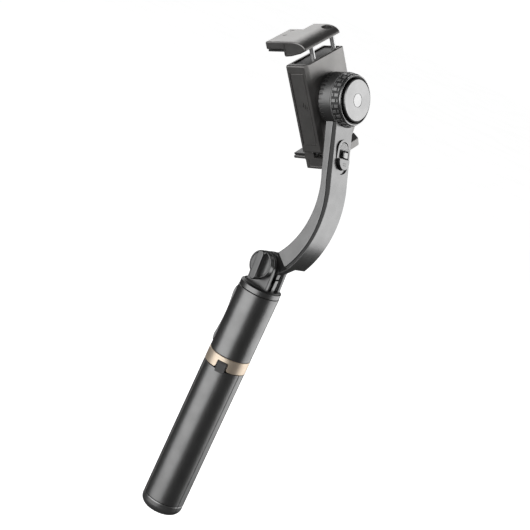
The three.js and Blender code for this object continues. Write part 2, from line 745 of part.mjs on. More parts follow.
function clampBodyGeometry() {
  const { half, top, bottom, rear, front, cutWidth, cutHeight } = body;
  const outline = shapeOf([
    [-half, bottom],
    [half - cutWidth, bottom],
    [half, bottom + cutHeight],
    [half, top],
    [-half, top],
  ]);
  const blank = prism(outline, rear, front);
  const { side, front: frontWall } = bodyWall;
  const inner = half - side;
  const room = shapeOf([
    [-inner, bottom + side],
    [inner - cutWidth, bottom + side],
    [inner, bottom + side + cutHeight],
    [inner, top - side],
    [-inner, top - side],
  ]);
  const cavity = prism(room, rear - 1, front - frontWall);
  const panel = sidePanel;
  const recess = block([-half - 1, panel.bottom, panel.rear], [-half + panel.depth, panel.top, panel.front]);
  const rodHoles = rodPlaces().map((x) => {
    const hole = rodAlongZ(rod.radius + gap, -(top + 2), -(top - 4));
    return hole.rotateX(Math.PI / 2).translate(x, 0, rod.z);
  });
  return cut(blank, cavity, recess, ...rodHoles);
}

function backPlateGeometry() {
  const { half, top, bottom, cutWidth, cutHeight } = body;
  const inset = bodyWall.side + gap;
  const inner = half - inset;
  const outline = shapeOf([
    [-inner, bottom + inset],
    [inner - cutWidth, bottom + inset],
    [inner, bottom + inset + cutHeight],
    [inner, top - inset],
    [-inner, top - inset],
  ]);
  return prism(outline, backPlate.rear, backPlate.front);
}

function sidePanelGeometry() {
  const { top, bottom, rear, front, depth } = sidePanel;
  const left = -body.half;
  const plate = block([left + 0.1, bottom + gap, rear + gap], [left + depth - gap, top - gap, front - gap]);
  const slots = [-1, 0, 1].map((row) => {
    const y = 4 + row * 1.8;
    return block([left - 1, y - 0.45, 9.6], [left + 2, y + 0.45, 12.4]);
  });
  return cut(plate, ...slots);
}

function lowerJawGeometry() {
  const { half, lipTip, lipTop, lipUnder, bottom, front } = lowerJaw;
  const seat = body.bottom - gap;
  const profile = shapeOf([
    [0.4, seat],
    [16.5, seat],
    [front, -34.5],
    [front - 0.5, -39.5],
    [12, bottom],
    [0.4, bottom],
    [0.4, lipUnder],
    [lipTip + 1, lipUnder],
    [lipTip, lipUnder + 0.8],
    [lipTip, lipTop],
    [0.4, lipTop],
  ]);
  return prismAlongClampX(profile, -half, half);
}

// Extrudes a profile drawn in the clamp's (z, y) plane along its x axis.
function prismAlongClampX(shape, from, to) {
  const zyToX = new THREE.Matrix4().makeBasis(
    new THREE.Vector3(0, 0, 1),
    new THREE.Vector3(0, 1, 0),
    new THREE.Vector3(-1, 0, 0),
  );
  return prism(shape, -to, -from).applyMatrix4(zyToX);
}

function upperJawGeometry() {
  const { half, lipEnd, lipTip, lipUnder, top, bottom, front } = jaw;
  const shape = new THREE.Shape();
  shape.moveTo(lipTip, lipUnder);
  shape.lineTo(0.5, lipUnder);
  shape.lineTo(0.5, bottom + 0.8);
  shape.lineTo(3, bottom);
  shape.lineTo(14.5, bottom);
  shape.lineTo(front - 1.3, bottom + 2);
  shape.lineTo(front, bottom + 4.4);
  shape.absellipse(front - 9, bottom + 4.4, 9, top - bottom - 4.4, 0, Math.PI / 2);
  shape.lineTo(0, top);
  shape.lineTo(lipTip, top - 0.8);
  shape.closePath();
  const blank = prismAlongClampX(shape, -half, half);
  const lensSide = block([lipEnd, 30, -20], [half + 1, 60, 0.2]);
  const sockets = rodPlaces().map((x) => {
    const hole = rodAlongZ(rod.radius + gap, -(rod.top + gap), -(bottom - 1));
    return hole.rotateX(Math.PI / 2).translate(x, 0, rod.z);
  });
  return cut(blank, lensSide, ...sockets);
}

function guideRodGeometry(x) {
  return rodAlongZ(rod.radius, -rod.top, -rod.bottom).rotateX(Math.PI / 2).translate(x, 0, rod.z);
}

// The bar that joins the guide rods' lower ends and carries the spring.
function bridgeGeometry() {
  const reach = rod.spacing / 2 + bridge.overhang;
  return block([rod.centre - reach, bridge.bottom, bridge.rear], [rod.centre + reach, bridge.top, bridge.front]);
}

class Helix extends THREE.Curve {
  constructor(radius, bottom, top, turns) {
    super();
    Object.assign(this, { radius, bottom, top, turns });
  }

  getPoint(t, target = new THREE.Vector3()) {
    const angle = t * this.turns * 2 * Math.PI;
    const height = this.bottom + t * (this.top - this.bottom);
    return target.set(this.radius * Math.cos(angle), height, this.radius * Math.sin(angle));
  }
}

function springGeometry() {
  const { radius, wire, bottom, top, turns, stepsPerTurn } = spring;
  const extrudePath = new Helix(radius, bottom, top, turns);
  const section = new THREE.Shape();
  section.absarc(0, 0, wire, 0, 2 * Math.PI);
  const options = { steps: turns * stepsPerTurn, extrudePath, curveSegments: 2, bevelEnabled: false };
  return new THREE.ExtrudeGeometry(section, options).translate(rod.centre, 0, spring.z);
}

function addClamp(frame) {
  const padShape = roundedRectangle(pad.halfX, pad.halfY, pad.corner);
  const lowerPadTop = phone.bottom - 0.1;
  const upperPadTop = jaw.lipUnder - gap;
  addPiece(frame, 'clamp_body', clampBodyGeometry(), charcoal);
  addPiece(frame, 'clamp_back', backPlateGeometry(), blackPlastic);
  addPiece(frame, 'phone_pad', prism(padShape, 0, pad.thickness, 4), blackRubber);
  addPiece(frame, 'side_panel', sidePanelGeometry(), charcoal);
  addPiece(frame, 'sensor_board', block([-12, -24, 5], [12, -6, 6.2]), boardGreen);
  addPiece(frame, 'lower_jaw', lowerJawGeometry(), charcoal);
  const lowerPad = block([-18, lowerPadTop - jawPad.thickness, -9], [18, lowerPadTop, 0.1]);
  addPiece(frame, 'lower_jaw_pad', lowerPad, blackRubber);
  addPiece(frame, 'upper_jaw', upperJawGeometry(), charcoal);
  const upperPad = block([-18, upperPadTop - jawPad.thickness, -13.2], [jaw.lipEnd - 0.6, upperPadTop, 0.2]);
  addPiece(frame, 'upper_jaw_pad', upperPad, blackRubber);
  rodPlaces().forEach((x, index) => {
    addPiece(frame, `guide_rod_${index + 1}`, guideRodGeometry(x), chrome);
  });
  addPiece(frame, 'rod_bridge', bridgeGeometry(), steel);
  addPiece(frame, 'jaw_spring', springGeometry(), steel);
}

// ---------------------------------------------------------------- assembly

const gimbal = new THREE.Group();
addLegs(gimbal);
addHandle(gimbal);
addRemote(gimbal);
addPole(gimbal);
addNeck(gimbal);
addArm(gimbal);

const motorFrame = new THREE.Group();
motorFrame.position.set(0, motor.y, motor.height);
motorFrame.rotation.x = degrees(motorTilt);
gimbal.add(motorFrame);
addMotor(motorFrame);
addRotor(motorFrame);

const clampFrame = new THREE.Group();
clampFrame.position.y = -clampDrop;
clampFrame.rotation.z = degrees(clampRoll);
motorFrame.add(clampFrame);
addClamp(clampFrame);

export default gimbal;
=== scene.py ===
"""Looks for a single-axis phone gimbal on a telescopic tripod handle.

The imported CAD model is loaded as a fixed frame. Every visible piece is then built here, in metres
and in the same frame, from its own outline: turned pieces are revolved, plates are extruded with
rounded rims, and each one rides on the body that its CAD node belongs to.
"""

import json
import math

import bmesh
import bpy
from mathutils import Matrix, Vector


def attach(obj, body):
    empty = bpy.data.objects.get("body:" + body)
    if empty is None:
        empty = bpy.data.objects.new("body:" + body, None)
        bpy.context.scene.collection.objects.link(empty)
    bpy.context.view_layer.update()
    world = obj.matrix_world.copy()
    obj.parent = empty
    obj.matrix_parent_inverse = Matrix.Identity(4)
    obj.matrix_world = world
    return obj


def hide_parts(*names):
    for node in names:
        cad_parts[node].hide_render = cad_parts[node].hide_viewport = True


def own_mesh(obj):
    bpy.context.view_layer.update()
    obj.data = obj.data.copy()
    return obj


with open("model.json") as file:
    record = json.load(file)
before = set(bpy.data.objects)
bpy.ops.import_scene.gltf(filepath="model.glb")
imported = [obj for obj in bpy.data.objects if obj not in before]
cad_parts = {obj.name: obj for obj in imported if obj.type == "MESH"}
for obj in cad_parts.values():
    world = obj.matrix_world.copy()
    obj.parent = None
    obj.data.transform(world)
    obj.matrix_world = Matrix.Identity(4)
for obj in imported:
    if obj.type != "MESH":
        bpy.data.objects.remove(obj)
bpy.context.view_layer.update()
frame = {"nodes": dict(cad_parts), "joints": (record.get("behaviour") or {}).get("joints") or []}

# ------------------------------------------------------------------ driving dimensions, metres


class Sizes:
    """The named dimensions of one piece."""

    def __init__(self, **values):
        self.__dict__.update(values)


GAP = 0.0003  # clearance between neighbouring pieces
TURN = 2 * math.pi

# FOOT.lip is the height of the pale band at each foot's top, a painted highlight.
FOOT = Sizes(outer=0.0152, inner=0.0124, top=0.0092, corner=0.006, lip=0.0008, hollow=0.004)
LEG = Sizes(outer=0.0152, inner=0.0124, bottom=0.0095, top=0.1171, root=0.104, root_inner=0.0096, slope=0.006)
KNUCKLE = Sizes(radius=0.0032, half=0.0034, web=0.108, pin=0.0011)
TAB = Sizes(inner=0.0147, outer=0.01535, bottom=0.1153, half_thickness=0.0003, sweep=62)
COLLAR = Sizes(outer=0.01525, inner=0.0139, bottom=0.1175, top=0.1268)
NOTCH = Sizes(half=0.0041, top=0.1237, bottom=0.110, flare=0.0022)
TUBE = Sizes(outer=0.0151, inner=0.0136, bottom=0.1271, top=0.1761)
REMOTE = Sizes(half=0.0109, back=0.0093, bottom=0.1311, top=0.1729, waist=0.01515, bulge=0.0011)
REMOTE_KEY = Sizes(height=0.143, radius=0.0044, well=0.0113, inside=0.0122, face=0.0153)
BEYOND = 0.03  # past the handle's skin, where its cutting tools end
POLE = Sizes(outer=0.007, wall=0.0004, step=0.0007, bottom=0.006, top=0.1758, neck_top=0.1797)
CAP = Sizes(outer=0.0149, face=0.0134, bore=0.0045, bottom=0.1764, band=0.180, top=0.1812)
# The near-black ring in the gap under the neck cap, painted shade.
GAP_SHADE_RING = Sizes(inner=0.012, outer=0.0143)

YOKE = Sizes(half=0.008, base=0.1809, front=-0.0106, rear=0.0086, ear=0.0097, ear_inside=0.0052, inset=0.0007)
RIB = Sizes(half=0.0016, yoke_top=0.1892, knuckle_front=-0.0100, knuckle_rear=-0.0086)
KNOB = Sizes(inside=0.0083, face=0.012, grip=0.0156, radius=0.0096, bar=0.0054, recess=0.0005, tilt=4)
BOLT = Sizes(radius=0.002, low=-0.0123, high=0.0077)

ARM = Sizes(half=0.009, knuckle=0.0036, knuckle_radius=0.0097, datum=0.309)  # datum: the edges' zero height
# Each long edge of the arm runs straight from its top to its bend and then along a bow to its end.
INNER_EDGE = Sizes(top=(0.0041, -0.0032), bend=(-0.0111, -0.0353), end=(-0.0069, -0.0994),
                   centre=(0.0377, -0.0653), radius=0.057)
SEAM_EDGE = Sizes(top=(-0.0026, -0.0016), bend=(-0.0196, -0.041), end=(-0.0173, -0.106),
                  centre=(0.0355, -0.073), radius=0.0634)
OUTER_EDGE = Sizes(top=(-0.005, -0.0004), bend=(-0.023, -0.0399), end=(-0.0207, -0.1054),
                   centre=(0.0404, -0.0714), radius=0.0706)
# The dark band along the seam is painted shade and reflection of the step between the arm's side and face.
FACE_DEPTH = 0.0003  # the pale face plate's thickness over the dark band
SHADE_BAND_INSET = -0.0005  # the dark band starts this far inside the seam

SWITCH = Sizes(x=0.0008, y=-0.0074, z=-0.0057, lean=math.radians(24.5))
PLATE = Sizes(start=0.008, end=0.0314, half=0.0068)
BED = Sizes(inside=-0.0026, tip_across=0.0005, tip_along=0.0010, clearance=0.0003)
TRACK = Sizes(left=-0.0062, right=0.0046, start=0.0153, end=0.0207)
WINDOW = Sizes(x=-0.0006, y=0.0149, radius=0.0051)
KEY = Sizes(half=0.0055, start=0.0212, centre=0.0228, reach=0.0056, corner=0.0006, face=0.0022)

HOUSING = Sizes(outer=0.0183, rear=0.0202, front=0.030, bore=0.0168, neck=0.0044, inside=0.0286)
SLITS = Sizes(count=36, width=0.0012, length=0.0037)
BELL = Sizes(outer=0.0164, rear=0.0189, front=0.0281, bore=0.0154, shaft=0.0018, inside=0.0206)
RING = Sizes(rear=0.0303, front=0.0375, outer=0.0182, rim=0.0167, inner=0.0149)
TABLET = Sizes(count=30, width=0.0021, gap=0.0004, stagger=0.0009, rise=0.00045, sunk=0.0002)
MOTOR_CAP = Sizes(outer=0.0142, rear=0.0309, edge=0.0386, front=0.0392, inlay=0.0044)

BODY = Sizes(half=0.021, top=0.031, bottom=-0.0305, rear=0.0018, front=0.0186, wall=0.0018)
BODY.cut = (0.007, 0.0065)  # width and height of the slanted lower right corner
DECK = Sizes(left=-0.0170, right=0.0195, rear=0.0035, front=0.0174)
BACK = Sizes(inset=0.0021, rear=0.0019, front=0.0035)
PANEL = Sizes(top=0.0258, bottom=-0.025, rear=0.0036, front=0.0152, depth=0.0009, gap=0.0005)
VENT = Sizes(half=0.0016, half_width=0.00028, x=0.0022, y=0.0116, step_x=0.0014, step_y=0.0013, lean=6)
PAD = Sizes(half=(0.016, 0.024), thickness=0.0015, corner=0.004, grooves=9, pitch=0.005, groove=0.0004)
ROD = Sizes(centre=0.0033, spacing=0.0226, z=0.0154, radius=0.0016, top=0.0425, bottom=-0.0177)
JAW = Sizes(half=0.0188, tip=-0.014, under=0.041, top=0.0465, bottom=0.036, front=0.0193)
JAW.lip_end = 0.0072  # where the inner lip stops, so that the phone's lenses stay clear
JAW.roll = Sizes(z=0.0080, y=0.0404, depth=0.0113, start=12)  # the front's curve, from 12 to 90 degrees
LOWER_JAW = Sizes(half=0.0185, tip=-0.0095, lip_top=-0.0344, under=-0.0366, bottom=-0.0433, front=0.0195)
JAW_PAD_HALF = 0.018
JAW_ROOT = 0.0004  # the jaws' uprights stand this far back from the pad's face
SPRING = Sizes(z=0.0113, radius=0.0034, wire=0.00045, bottom=-0.0172, top=0.0284, turns=10)

CAMERA = Sizes(
    lens=90.3,
    place=(-0.7028, -0.5407, 0.4031),
    forward=(0.7690, 0.5970, -0.2290),
    up=(-0.093, 0.459, 0.884),
)
LAMP_DISTANCE = 3.0
ARM_HEIGHT = 0.21  # where the lamps' elevations are measured from
FLOOR_HEIGHT = -0.45
FILL_STRENGTH = 0.06
SURROUND_STRENGTH = 1.05

# ------------------------------------------------------------------ places taken from the frame

JOINTS = {joint["name"]: joint for joint in frame["joints"]}
X_AXIS = Vector((1, 0, 0))
Z_AXIS = Vector((0, 0, 1))


def frame_matrix(origin, x_axis, y_axis, z_axis):
    matrix = Matrix((x_axis, y_axis, z_axis)).transposed().to_4x4()
    matrix.translation = origin
    return matrix


PIVOT = Vector(JOINTS["arm_fold"]["pos_m"])
ROLL_AXIS = Vector(JOINTS["clamp_roll"]["axis"]).normalized()
ROLL_CENTRE = Vector(JOINTS["clamp_roll"]["pos_m"])
MOTOR_UP = ROLL_AXIS.cross(X_AXIS)
MOTOR_FRAME = frame_matrix(ROLL_CENTRE, X_AXIS, MOTOR_UP, ROLL_AXIS)

JAW_AXIS = Vector(JOINTS["jaw_slide"]["axis"]).normalized()
CLAMP_DROP = 0.00056  # the clamp's datum is this far below the motor's axis
CLAMP_CENTRE = ROLL_CENTRE - CLAMP_DROP * MOTOR_UP
CLAMP_FRAME = frame_matrix(CLAMP_CENTRE, JAW_AXIS.cross(ROLL_AXIS), JAW_AXIS, ROLL_AXIS)

ARM_FRAME = frame_matrix(Vector((0, 0, ARM.datum)), Vector((0, 1, 0)), Z_AXIS, X_AXIS)
LEG_JOINTS = {1: "leg_one_fold", 2: "leg_two_fold", 3: "leg_three_fold"}
LEG_BODIES = {1: "leg_one", 2: "leg_two", 3: "leg_three"}


def switch_frame():
    """x across the arm, y down along its outer face, z out of it."""
    lean = SWITCH.lean
    along = Vector((0, -math.sin(lean), -math.cos(lean)))
    outward = Vector((0, -math.cos(lean), math.sin(lean)))
    origin = Vector((SWITCH.x, SWITCH.y, ARM.datum + SWITCH.z))
    return frame_matrix(origin, along.cross(outward), along, outward)


SWITCH_FRAME = switch_frame()

# ------------------------------------------------------------------ material helpers


def set_inputs(node, values):
    for name, value in values.items():
        node.inputs[name].default_value = value


class Nodes:
    """A material's node tree, with short calls that lead to its shader."""

    def __init__(self, name, constants):
        self.material = bpy.data.materials.new(name)
        self.material.use_nodes = True
        self.tree = self.material.node_tree
        self.shader = self.tree.nodes["Principled BSDF"]
        set_inputs(self.shader, constants)
        self.place = self.add("ShaderNodeTexCoord", {}).outputs["Object"]

    def add(self, kind, values):
        node = self.tree.nodes.new(kind)
        set_inputs(node, values)
        return node

    def link(self, source, target):
        self.tree.links.new(source, target)

    def noise(self, scale, detail, stretch=(1, 1, 1)):
        mapping = self.add("ShaderNodeMapping", {"Scale": stretch})
        self.link(self.place, mapping.inputs["Vector"])
        texture = self.add("ShaderNodeTexNoise", {"Scale": scale, "Detail": detail})
        self.link(mapping.outputs["Vector"], texture.inputs["Vector"])
        return texture.outputs["Fac"]

    def drift(self, factor, low, high, start=0.35, end=0.65):
        """The base colour wanders between two colours."""
        ramp = self.add("ShaderNodeValToRGB", {})
        for element, position, color in zip(ramp.color_ramp.elements, (start, end), (low, high)):
            element.position = position
            element.color = color
        self.link(factor, ramp.inputs["Fac"])
        self.link(ramp.outputs["Color"], self.shader.inputs["Base Color"])
        return ramp.outputs["Color"]

    def sheen(self, factor, low, high):
        """The roughness wanders between two values."""
        spread = self.add("ShaderNodeMapRange", {"To Min": low, "To Max": high})
        self.link(factor, spread.inputs["Value"])
        self.link(spread.outputs["Result"], self.shader.inputs["Roughness"])

    def bump(self, height, distance, strength):
        node = self.add("ShaderNodeBump", {"Distance": distance, "Strength": strength})
        self.link(height, node.inputs["Height"])
        self.link(node.outputs["Normal"], self.shader.inputs["Normal"])


def grey(value, warmth=0.0):
    return (value * (1 + warmth), value, value * (1 - warmth), 1)


def shades(color, *strengths):
    """The same colour at each of the strengths."""
    return [tuple(channel * strength for channel in color[:3]) + (1,) for strength in strengths]


def satin_metal(name, color, roughness, grain=0.00002, metallic=1.0):
    """Bead-blasted, anodised metal: a fine grain, faint cloudiness and uneven gloss."""
    nodes = Nodes(name, {"Metallic": metallic})
    nodes.drift(nodes.noise(90, 2), *shades(color, 0.94, 1.05))
    nodes.sheen(nodes.noise(700, 4), roughness - 0.03, roughness + 0.04)
    nodes.bump(nodes.noise(1700, 4), grain, 0.35)
    return nodes.material


def moulded(name, color, roughness, grain=0.00004, grain_scale=2600, coat=0.0):
    """Moulded plastic: spark-eroded grain, a little colour drift and patchy sheen."""
    nodes = Nodes(name, {"Coat Weight": coat, "Coat Roughness": 0.25})
    nodes.drift(nodes.noise(60, 3), *shades(color, 0.9, 1.1))
    nodes.sheen(nodes.noise(420, 4), roughness - 0.05, roughness + 0.06)
    nodes.bump(nodes.noise(grain_scale, 3), grain, 0.5)
    return nodes.material


# ------------------------------------------------------------------ materials


def charcoal_metal():
    return satin_metal("charcoal_metal", grey(0.28), 0.35, 0.00003)


def slope_metal():
    return satin_metal("slope_metal", grey(0.09), 0.4)


def hinge_metal():
    return satin_metal("hinge_metal", grey(0.19), 0.3)


def charcoal_plastic():
    """Metallic paint over the clamp's plastic."""
    nodes = Nodes("charcoal_plastic", {"Metallic": 0.9})
    nodes.drift(nodes.noise(70, 3), *shades(grey(0.31, 0.02), 0.93, 1.07))
    nodes.sheen(nodes.noise(500, 4), 0.36, 0.44)
    nodes.bump(nodes.noise(3200, 3), 0.00003, 0.45)
    return nodes.material


def arm_paint():
    return satin_metal("arm_paint", grey(0.26), 0.34)


def face_paint():
    return satin_metal("face_paint", grey(0.32), 0.28)


def cap_metal():
    return satin_metal("cap_metal", grey(0.46), 0.36, 0.00003)


def tab_plastic():
    return moulded("tab_plastic", grey(0.10), 0.5)


# Dark plastic; on the arm it also paints in the shade and reflection along the seam.
def dark_trim_and_painted_shade():
    return moulded("dark_trim_and_painted_shade", grey(0.035), 0.38)


# Near-black; also the painted shade in the hinge's gaps, the neck gap, the switch openings and the motor
# cap's wall.
def black_and_painted_shade():
    return moulded("black_and_painted_shade", grey(0.008), 0.45)


def housing_black():
    return satin_metal("housing_black", grey(0.25), 0.42)


def bright_metal():
    return satin_metal("bright_metal", grey(0.42), 0.24)


def tablet_metal():
    return satin_metal("tablet_metal", grey(0.27), 0.36, metallic=0.6)


# A pale metal for the thin ring at the trim ring's rear edge: a painted highlight.
def painted_highlight_line_metal():
    return satin_metal("painted_highlight_line_metal", grey(0.5), 0.4, metallic=0.6)


# A paler metal for the thin band round each foot's top: a painted highlight.
def painted_highlight_metal():
    return satin_metal("painted_highlight_metal", grey(0.45), 0.3)


def inlay_metal():
    return satin_metal("inlay_metal", grey(0.58), 0.32)


def champagne():
    """Turned and anodised: fine lines run round the ring."""
    nodes = Nodes("champagne", {"Metallic": 0.8})
    lines = nodes.noise(900, 3, (0.05, 0.05, 2))
    nodes.drift(lines, *shades((1.0, 0.84, 0.67), 0.97, 1.03))
    nodes.sheen(nodes.noise(600, 3), 0.40, 0.46)
    nodes.bump(lines, 0.00001, 0.2)
    return nodes.material


def rubber():
    return moulded("soft_rubber", grey(0.04), 0.38, 0.00005, 1900)


def foot_rubber():
    """Smooth, lacquered rubber with the legs' own sheen."""
    nodes = Nodes("foot_rubber", {"Metallic": 0.75})
    nodes.drift(nodes.noise(80, 3), *shades(grey(0.2), 0.93, 1.07))
    nodes.sheen(nodes.noise(500, 4), 0.30, 0.37)
    nodes.bump(nodes.noise(1900, 3), 0.00003, 0.4)
    return nodes.material


def chrome():
    nodes = Nodes("chrome", {"Metallic": 0.6, "Base Color": grey(0.92)})
    streaks = nodes.noise(500, 3)
    nodes.sheen(streaks, 0.22, 0.3)
    nodes.bump(streaks, 0.000001, 0.1)
    return nodes.material


def plain_steel():
    return satin_metal("plain_steel", grey(0.45), 0.3)


def copper_winding():
    """Enamelled wire laid side by side."""
    nodes = Nodes("copper_winding", {"Metallic": 1.0})
    wires = nodes.add("ShaderNodeTexWave", {"Scale": 900, "Distortion": 0.6})
    wires.bands_direction = "DIAGONAL"
    nodes.link(nodes.place, wires.inputs["Vector"])
    nodes.drift(wires.outputs["Fac"], (0.25, 0.07, 0.02, 1), (0.75, 0.3, 0.12, 1), 0.2, 0.8)
    nodes.sheen(nodes.noise(800, 2), 0.25, 0.4)
    nodes.bump(wires.outputs["Fac"], 0.0001, 0.6)
    return nodes.material


def circuit_board():
    """Solder mask over copper tracks."""
    nodes = Nodes("circuit_board", {})
    tracks = nodes.add("ShaderNodeTexBrick", {
        "Scale": 420,
        "Mortar Size": 0.03,
        "Color1": (0.012, 0.09, 0.035, 1),
        "Color2": (0.016, 0.12, 0.05, 1),
        "Mortar": (0.05, 0.22, 0.1, 1),
    })
    nodes.link(nodes.place, tracks.inputs["Vector"])
    nodes.link(tracks.outputs["Color"], nodes.shader.inputs["Base Color"])
    nodes.sheen(nodes.noise(900, 2), 0.3, 0.45)
    nodes.bump(tracks.outputs["Fac"], 0.00005, 0.5)
    return nodes.material


def wrapped_cell():
    return moulded("wrapped_cell", (0.03, 0.12, 0.36), 0.3, coat=0.4)


def milky_lens():
    nodes = Nodes("milky_lens", {
        "Subsurface Weight": 0.3,
        "Subsurface Radius": (0.001, 0.001, 0.001),
        "Coat Weight": 0.4,
    })
    nodes.drift(nodes.noise(300, 2), *shades(grey(0.9), 0.95, 1.04))
    nodes.sheen(nodes.noise(900, 2), 0.2, 0.3)
    return nodes.material


def magnet_plate():
    return satin_metal("magnet_plate", grey(0.2), 0.25)


MATERIALS = {}


def material(maker):
    """Makes a material once, the first time that it is asked for."""
    if maker.__name__ not in MATERIALS:
        MATERIALS[maker.__name__] = maker()
    return MATERIALS[maker.__name__]


# ------------------------------------------------------------------ outlines

SAME_POINT = 2e-6  # points of an outline closer than this are one
ON_AXIS = 1e-7  # a smaller radius is on the axis of a turned piece
NEARLY_STRAIGHT = math.radians(88)  # half the angle of a corner too flat to round
SHARPEST = 0.3  # limits how far a sharp corner moves inwards
LARGEST_REACH = 0.49  # of its shorter side that a corner's arc may take up


def arc(centre, radius, start, end, steps):
    """Points round a circle from one angle to another, in degrees."""
    points = []
    for step in range(steps + 1):
        angle = math.radians(start + (end - start) * step / steps)
        points.append((centre[0] + radius * math.cos(angle), centre[1] + radius * math.sin(angle)))
    return points


def rounded(points, radius):
    """Marks an outline's corners with the radius that each is rounded by: one number, or one for each."""
    radii = radius if isinstance(radius, list) else [radius] * len(points)
    return [(point[0], point[1], size) for point, size in zip(points, radii)]


def slot_outline(x, low, high, half, steps=24):
    """A pill standing along y."""
    return arc((x, high - half), half, 0, 180, steps) + arc((x, low + half), half, 180, 360, steps)


def box_outline(x_low, y_low, x_high, y_high, corner):
    return rounded([(x_low, y_low), (x_high, y_low), (x_high, y_high), (x_low, y_high)], corner)


def ordered(outline):
    """The outline without points that fall together, anticlockwise."""
    kept = []
    for point in outline:
        if not kept or math.dist(point[:2], kept[-1][:2]) > SAME_POINT:
            kept.append(point)
    if math.dist(kept[0][:2], kept[-1][:2]) < SAME_POINT:
        kept.pop()
    area = 0.0
    for here, there in zip(kept, kept[1:] + kept[:1]):
        area += here[0] * there[1] - there[0] * here[1]
    return kept if area > 0 else kept[::-1]


def traced(outline, inset=0.0, steps=5):
    """Points along a closed anticlockwise outline, moved inwards, with its marked corners as arcs."""
    corners = [Vector(point[:2]) for point in outline]
    count = len(corners)
    points = []
    for index, corner in enumerate(corners):
        before = (corners[index - 1] - corner).normalized()
        after = (corners[(index + 1) % count] - corner).normalized()
        half = before.angle(after) / 2
        # Unit normals of the two sides that meet here, pointing into the outline.
        left_in = Vector((before.y, -before.x))
        left_out = Vector((-after.y, after.x))
        middle = left_in + left_out
        middle = middle.normalized() if middle.length > 1e-6 else left_in
        moved_corner = corner + middle * inset / max(middle.dot(left_in), SHARPEST)
        marked = outline[index][2] if len(outline[index]) > 2 else 0
        if marked <= 0 or half > NEARLY_STRAIGHT:
            points.append(moved_corner)
            continue
        convex = before.x * after.y < before.y * after.x
        radius = max(marked - inset, 0) if convex else marked + inset
        shortest = min((corners[index - 1] - corner).length, (corners[(index + 1) % count] - corner).length)
        reach = min(radius / math.tan(half), LARGEST_REACH * shortest)
        radius = reach * math.tan(half)
        centre = moved_corner + (before + after).normalized() * (radius / math.sin(half))
        start = moved_corner + before * reach - centre
        end = moved_corner + after * reach - centre
        sweep = start.angle_signed(end, 0) if radius > 1e-9 else 0
        for step in range(steps + 1):
            points.append(centre + rotated(start, -sweep * step / steps))
    return points


def rotated(vector, angle):
    cosine, sine = math.cos(angle), math.sin(angle)
    return Vector((vector.x * cosine - vector.y * sine, vector.x * sine + vector.y * cosine))


# ------------------------------------------------------------------ solids


def skinned(mesh, loops):
    """Joins each loop of vertices to the next one with quads, and closes both ends."""
    for low, high in zip(loops, loops[1:]):
        count = len(low)
        for index in range(count):
            following = (index + 1) % count
            mesh.faces.new((low[index], low[following], high[following], high[index]))
    mesh.faces.new(loops[0][::-1])
    mesh.faces.new(loops[-1])
    return mesh


def rim_levels(rim, end, inwards, steps):
    """(inset, height) pairs up a rounded rim, from a plate's end face to its straight side."""
    levels = []
    for step in range(steps if rim > 0 else 0):
        angle = math.pi / 2 * step / steps
        levels.append((rim * (1 - math.sin(angle)), end + inwards * rim * (1 - math.cos(angle))))
    return levels + [(0, end + inwards * rim)]


def extruded(outline, low, high, rim=0.0, steps=4, rim_low=None):
    """A plate between two heights whose rims are rounded."""
    outline = ordered(outline)
    rim_low = rim if rim_low is None else rim_low
    levels = rim_levels(rim_low, low, 1, steps) + rim_levels(rim, high, -1, steps)[::-1]
    mesh = bmesh.new()
    loops = []
    for inset, height in levels:
        loops.append([mesh.verts.new((x, y, height)) for x, y in traced(outline, inset)])
    return cleaned(skinned(mesh, loops))


def cleaned(mesh, distance=5e-7):
    """Merges points that fall together, as a corner smaller than its rim leaves behind."""
    bmesh.ops.remove_doubles(mesh, verts=mesh.verts, dist=distance)
    bmesh.ops.dissolve_degenerate(mesh, edges=mesh.edges, dist=distance)
    bmesh.ops.recalc_face_normals(mesh, faces=mesh.faces)
    return mesh


def revolved(profile, segments=96):
    """Turns a closed (radius, height) profile round z. A profile may also start and end on the axis."""
    mesh = bmesh.new()
    columns = []
    profile = traced(ordered(profile), 0, 4)
    for radius, height in profile:
        if radius < ON_AXIS:
            columns.append([mesh.verts.new((0, 0, height))] * segments)
        else:
            circle = arc((0, 0), radius, 0, 360, segments)[:-1]
            columns.append([mesh.verts.new((x, y, height)) for x, y in circle])
    pairs = list(zip(columns, columns[1:]))
    if profile[0][0] >= ON_AXIS or profile[-1][0] >= ON_AXIS:
        pairs.append((columns[-1], columns[0]))
    for first, second in pairs:
        for step in range(segments):
            following = (step + 1) % segments
            corners = [first[step], first[following], second[following], second[step]]
            unique = list(dict.fromkeys(corners))
            if len(unique) > 2:
                mesh.faces.new(unique)
    return mesh


def cylinder(radius, low, high, segments=96):
    return revolved([(0, low), (radius, low), (radius, high), (0, high)], segments)


def wedge(profile, half_angle, steps=28):
    """Part of a full turn of a closed profile, centred on +x, with flat ends."""
    mesh = bmesh.new()
    columns = []
    profile = traced(ordered(profile))
    for step in range(steps + 1):
        angle = half_angle * (2 * step / steps - 1)
        columns.append([mesh.verts.new((r * math.cos(angle), r * math.sin(angle), h)) for r, h in profile])
    return skinned(mesh, columns)


def tube(path, radius, sides=10):
    """A round wire along a list of points, with flat ends."""
    mesh = bmesh.new()
    loops = []
    normal = (path[1] - path[0]).orthogonal()
    for index, point in enumerate(path):
        tangent = (path[min(index + 1, len(path) - 1)] - path[max(index - 1, 0)]).normalized()
        normal = (normal - tangent * normal.dot(tangent)).normalized()
        side = tangent.cross(normal)
        circle = arc((0, 0), radius, 0, 360, sides)[:-1]
        loops.append([mesh.verts.new(point + x * normal + y * side) for x, y in circle])
    return skinned(mesh, loops)


def block(low, high, rim=0.0):
    outline = box_outline(low[0], low[1], high[0], high[1], rim)
    return extruded(outline, low[2], high[2], min(rim, 0.45 * (high[2] - low[2])), 3)


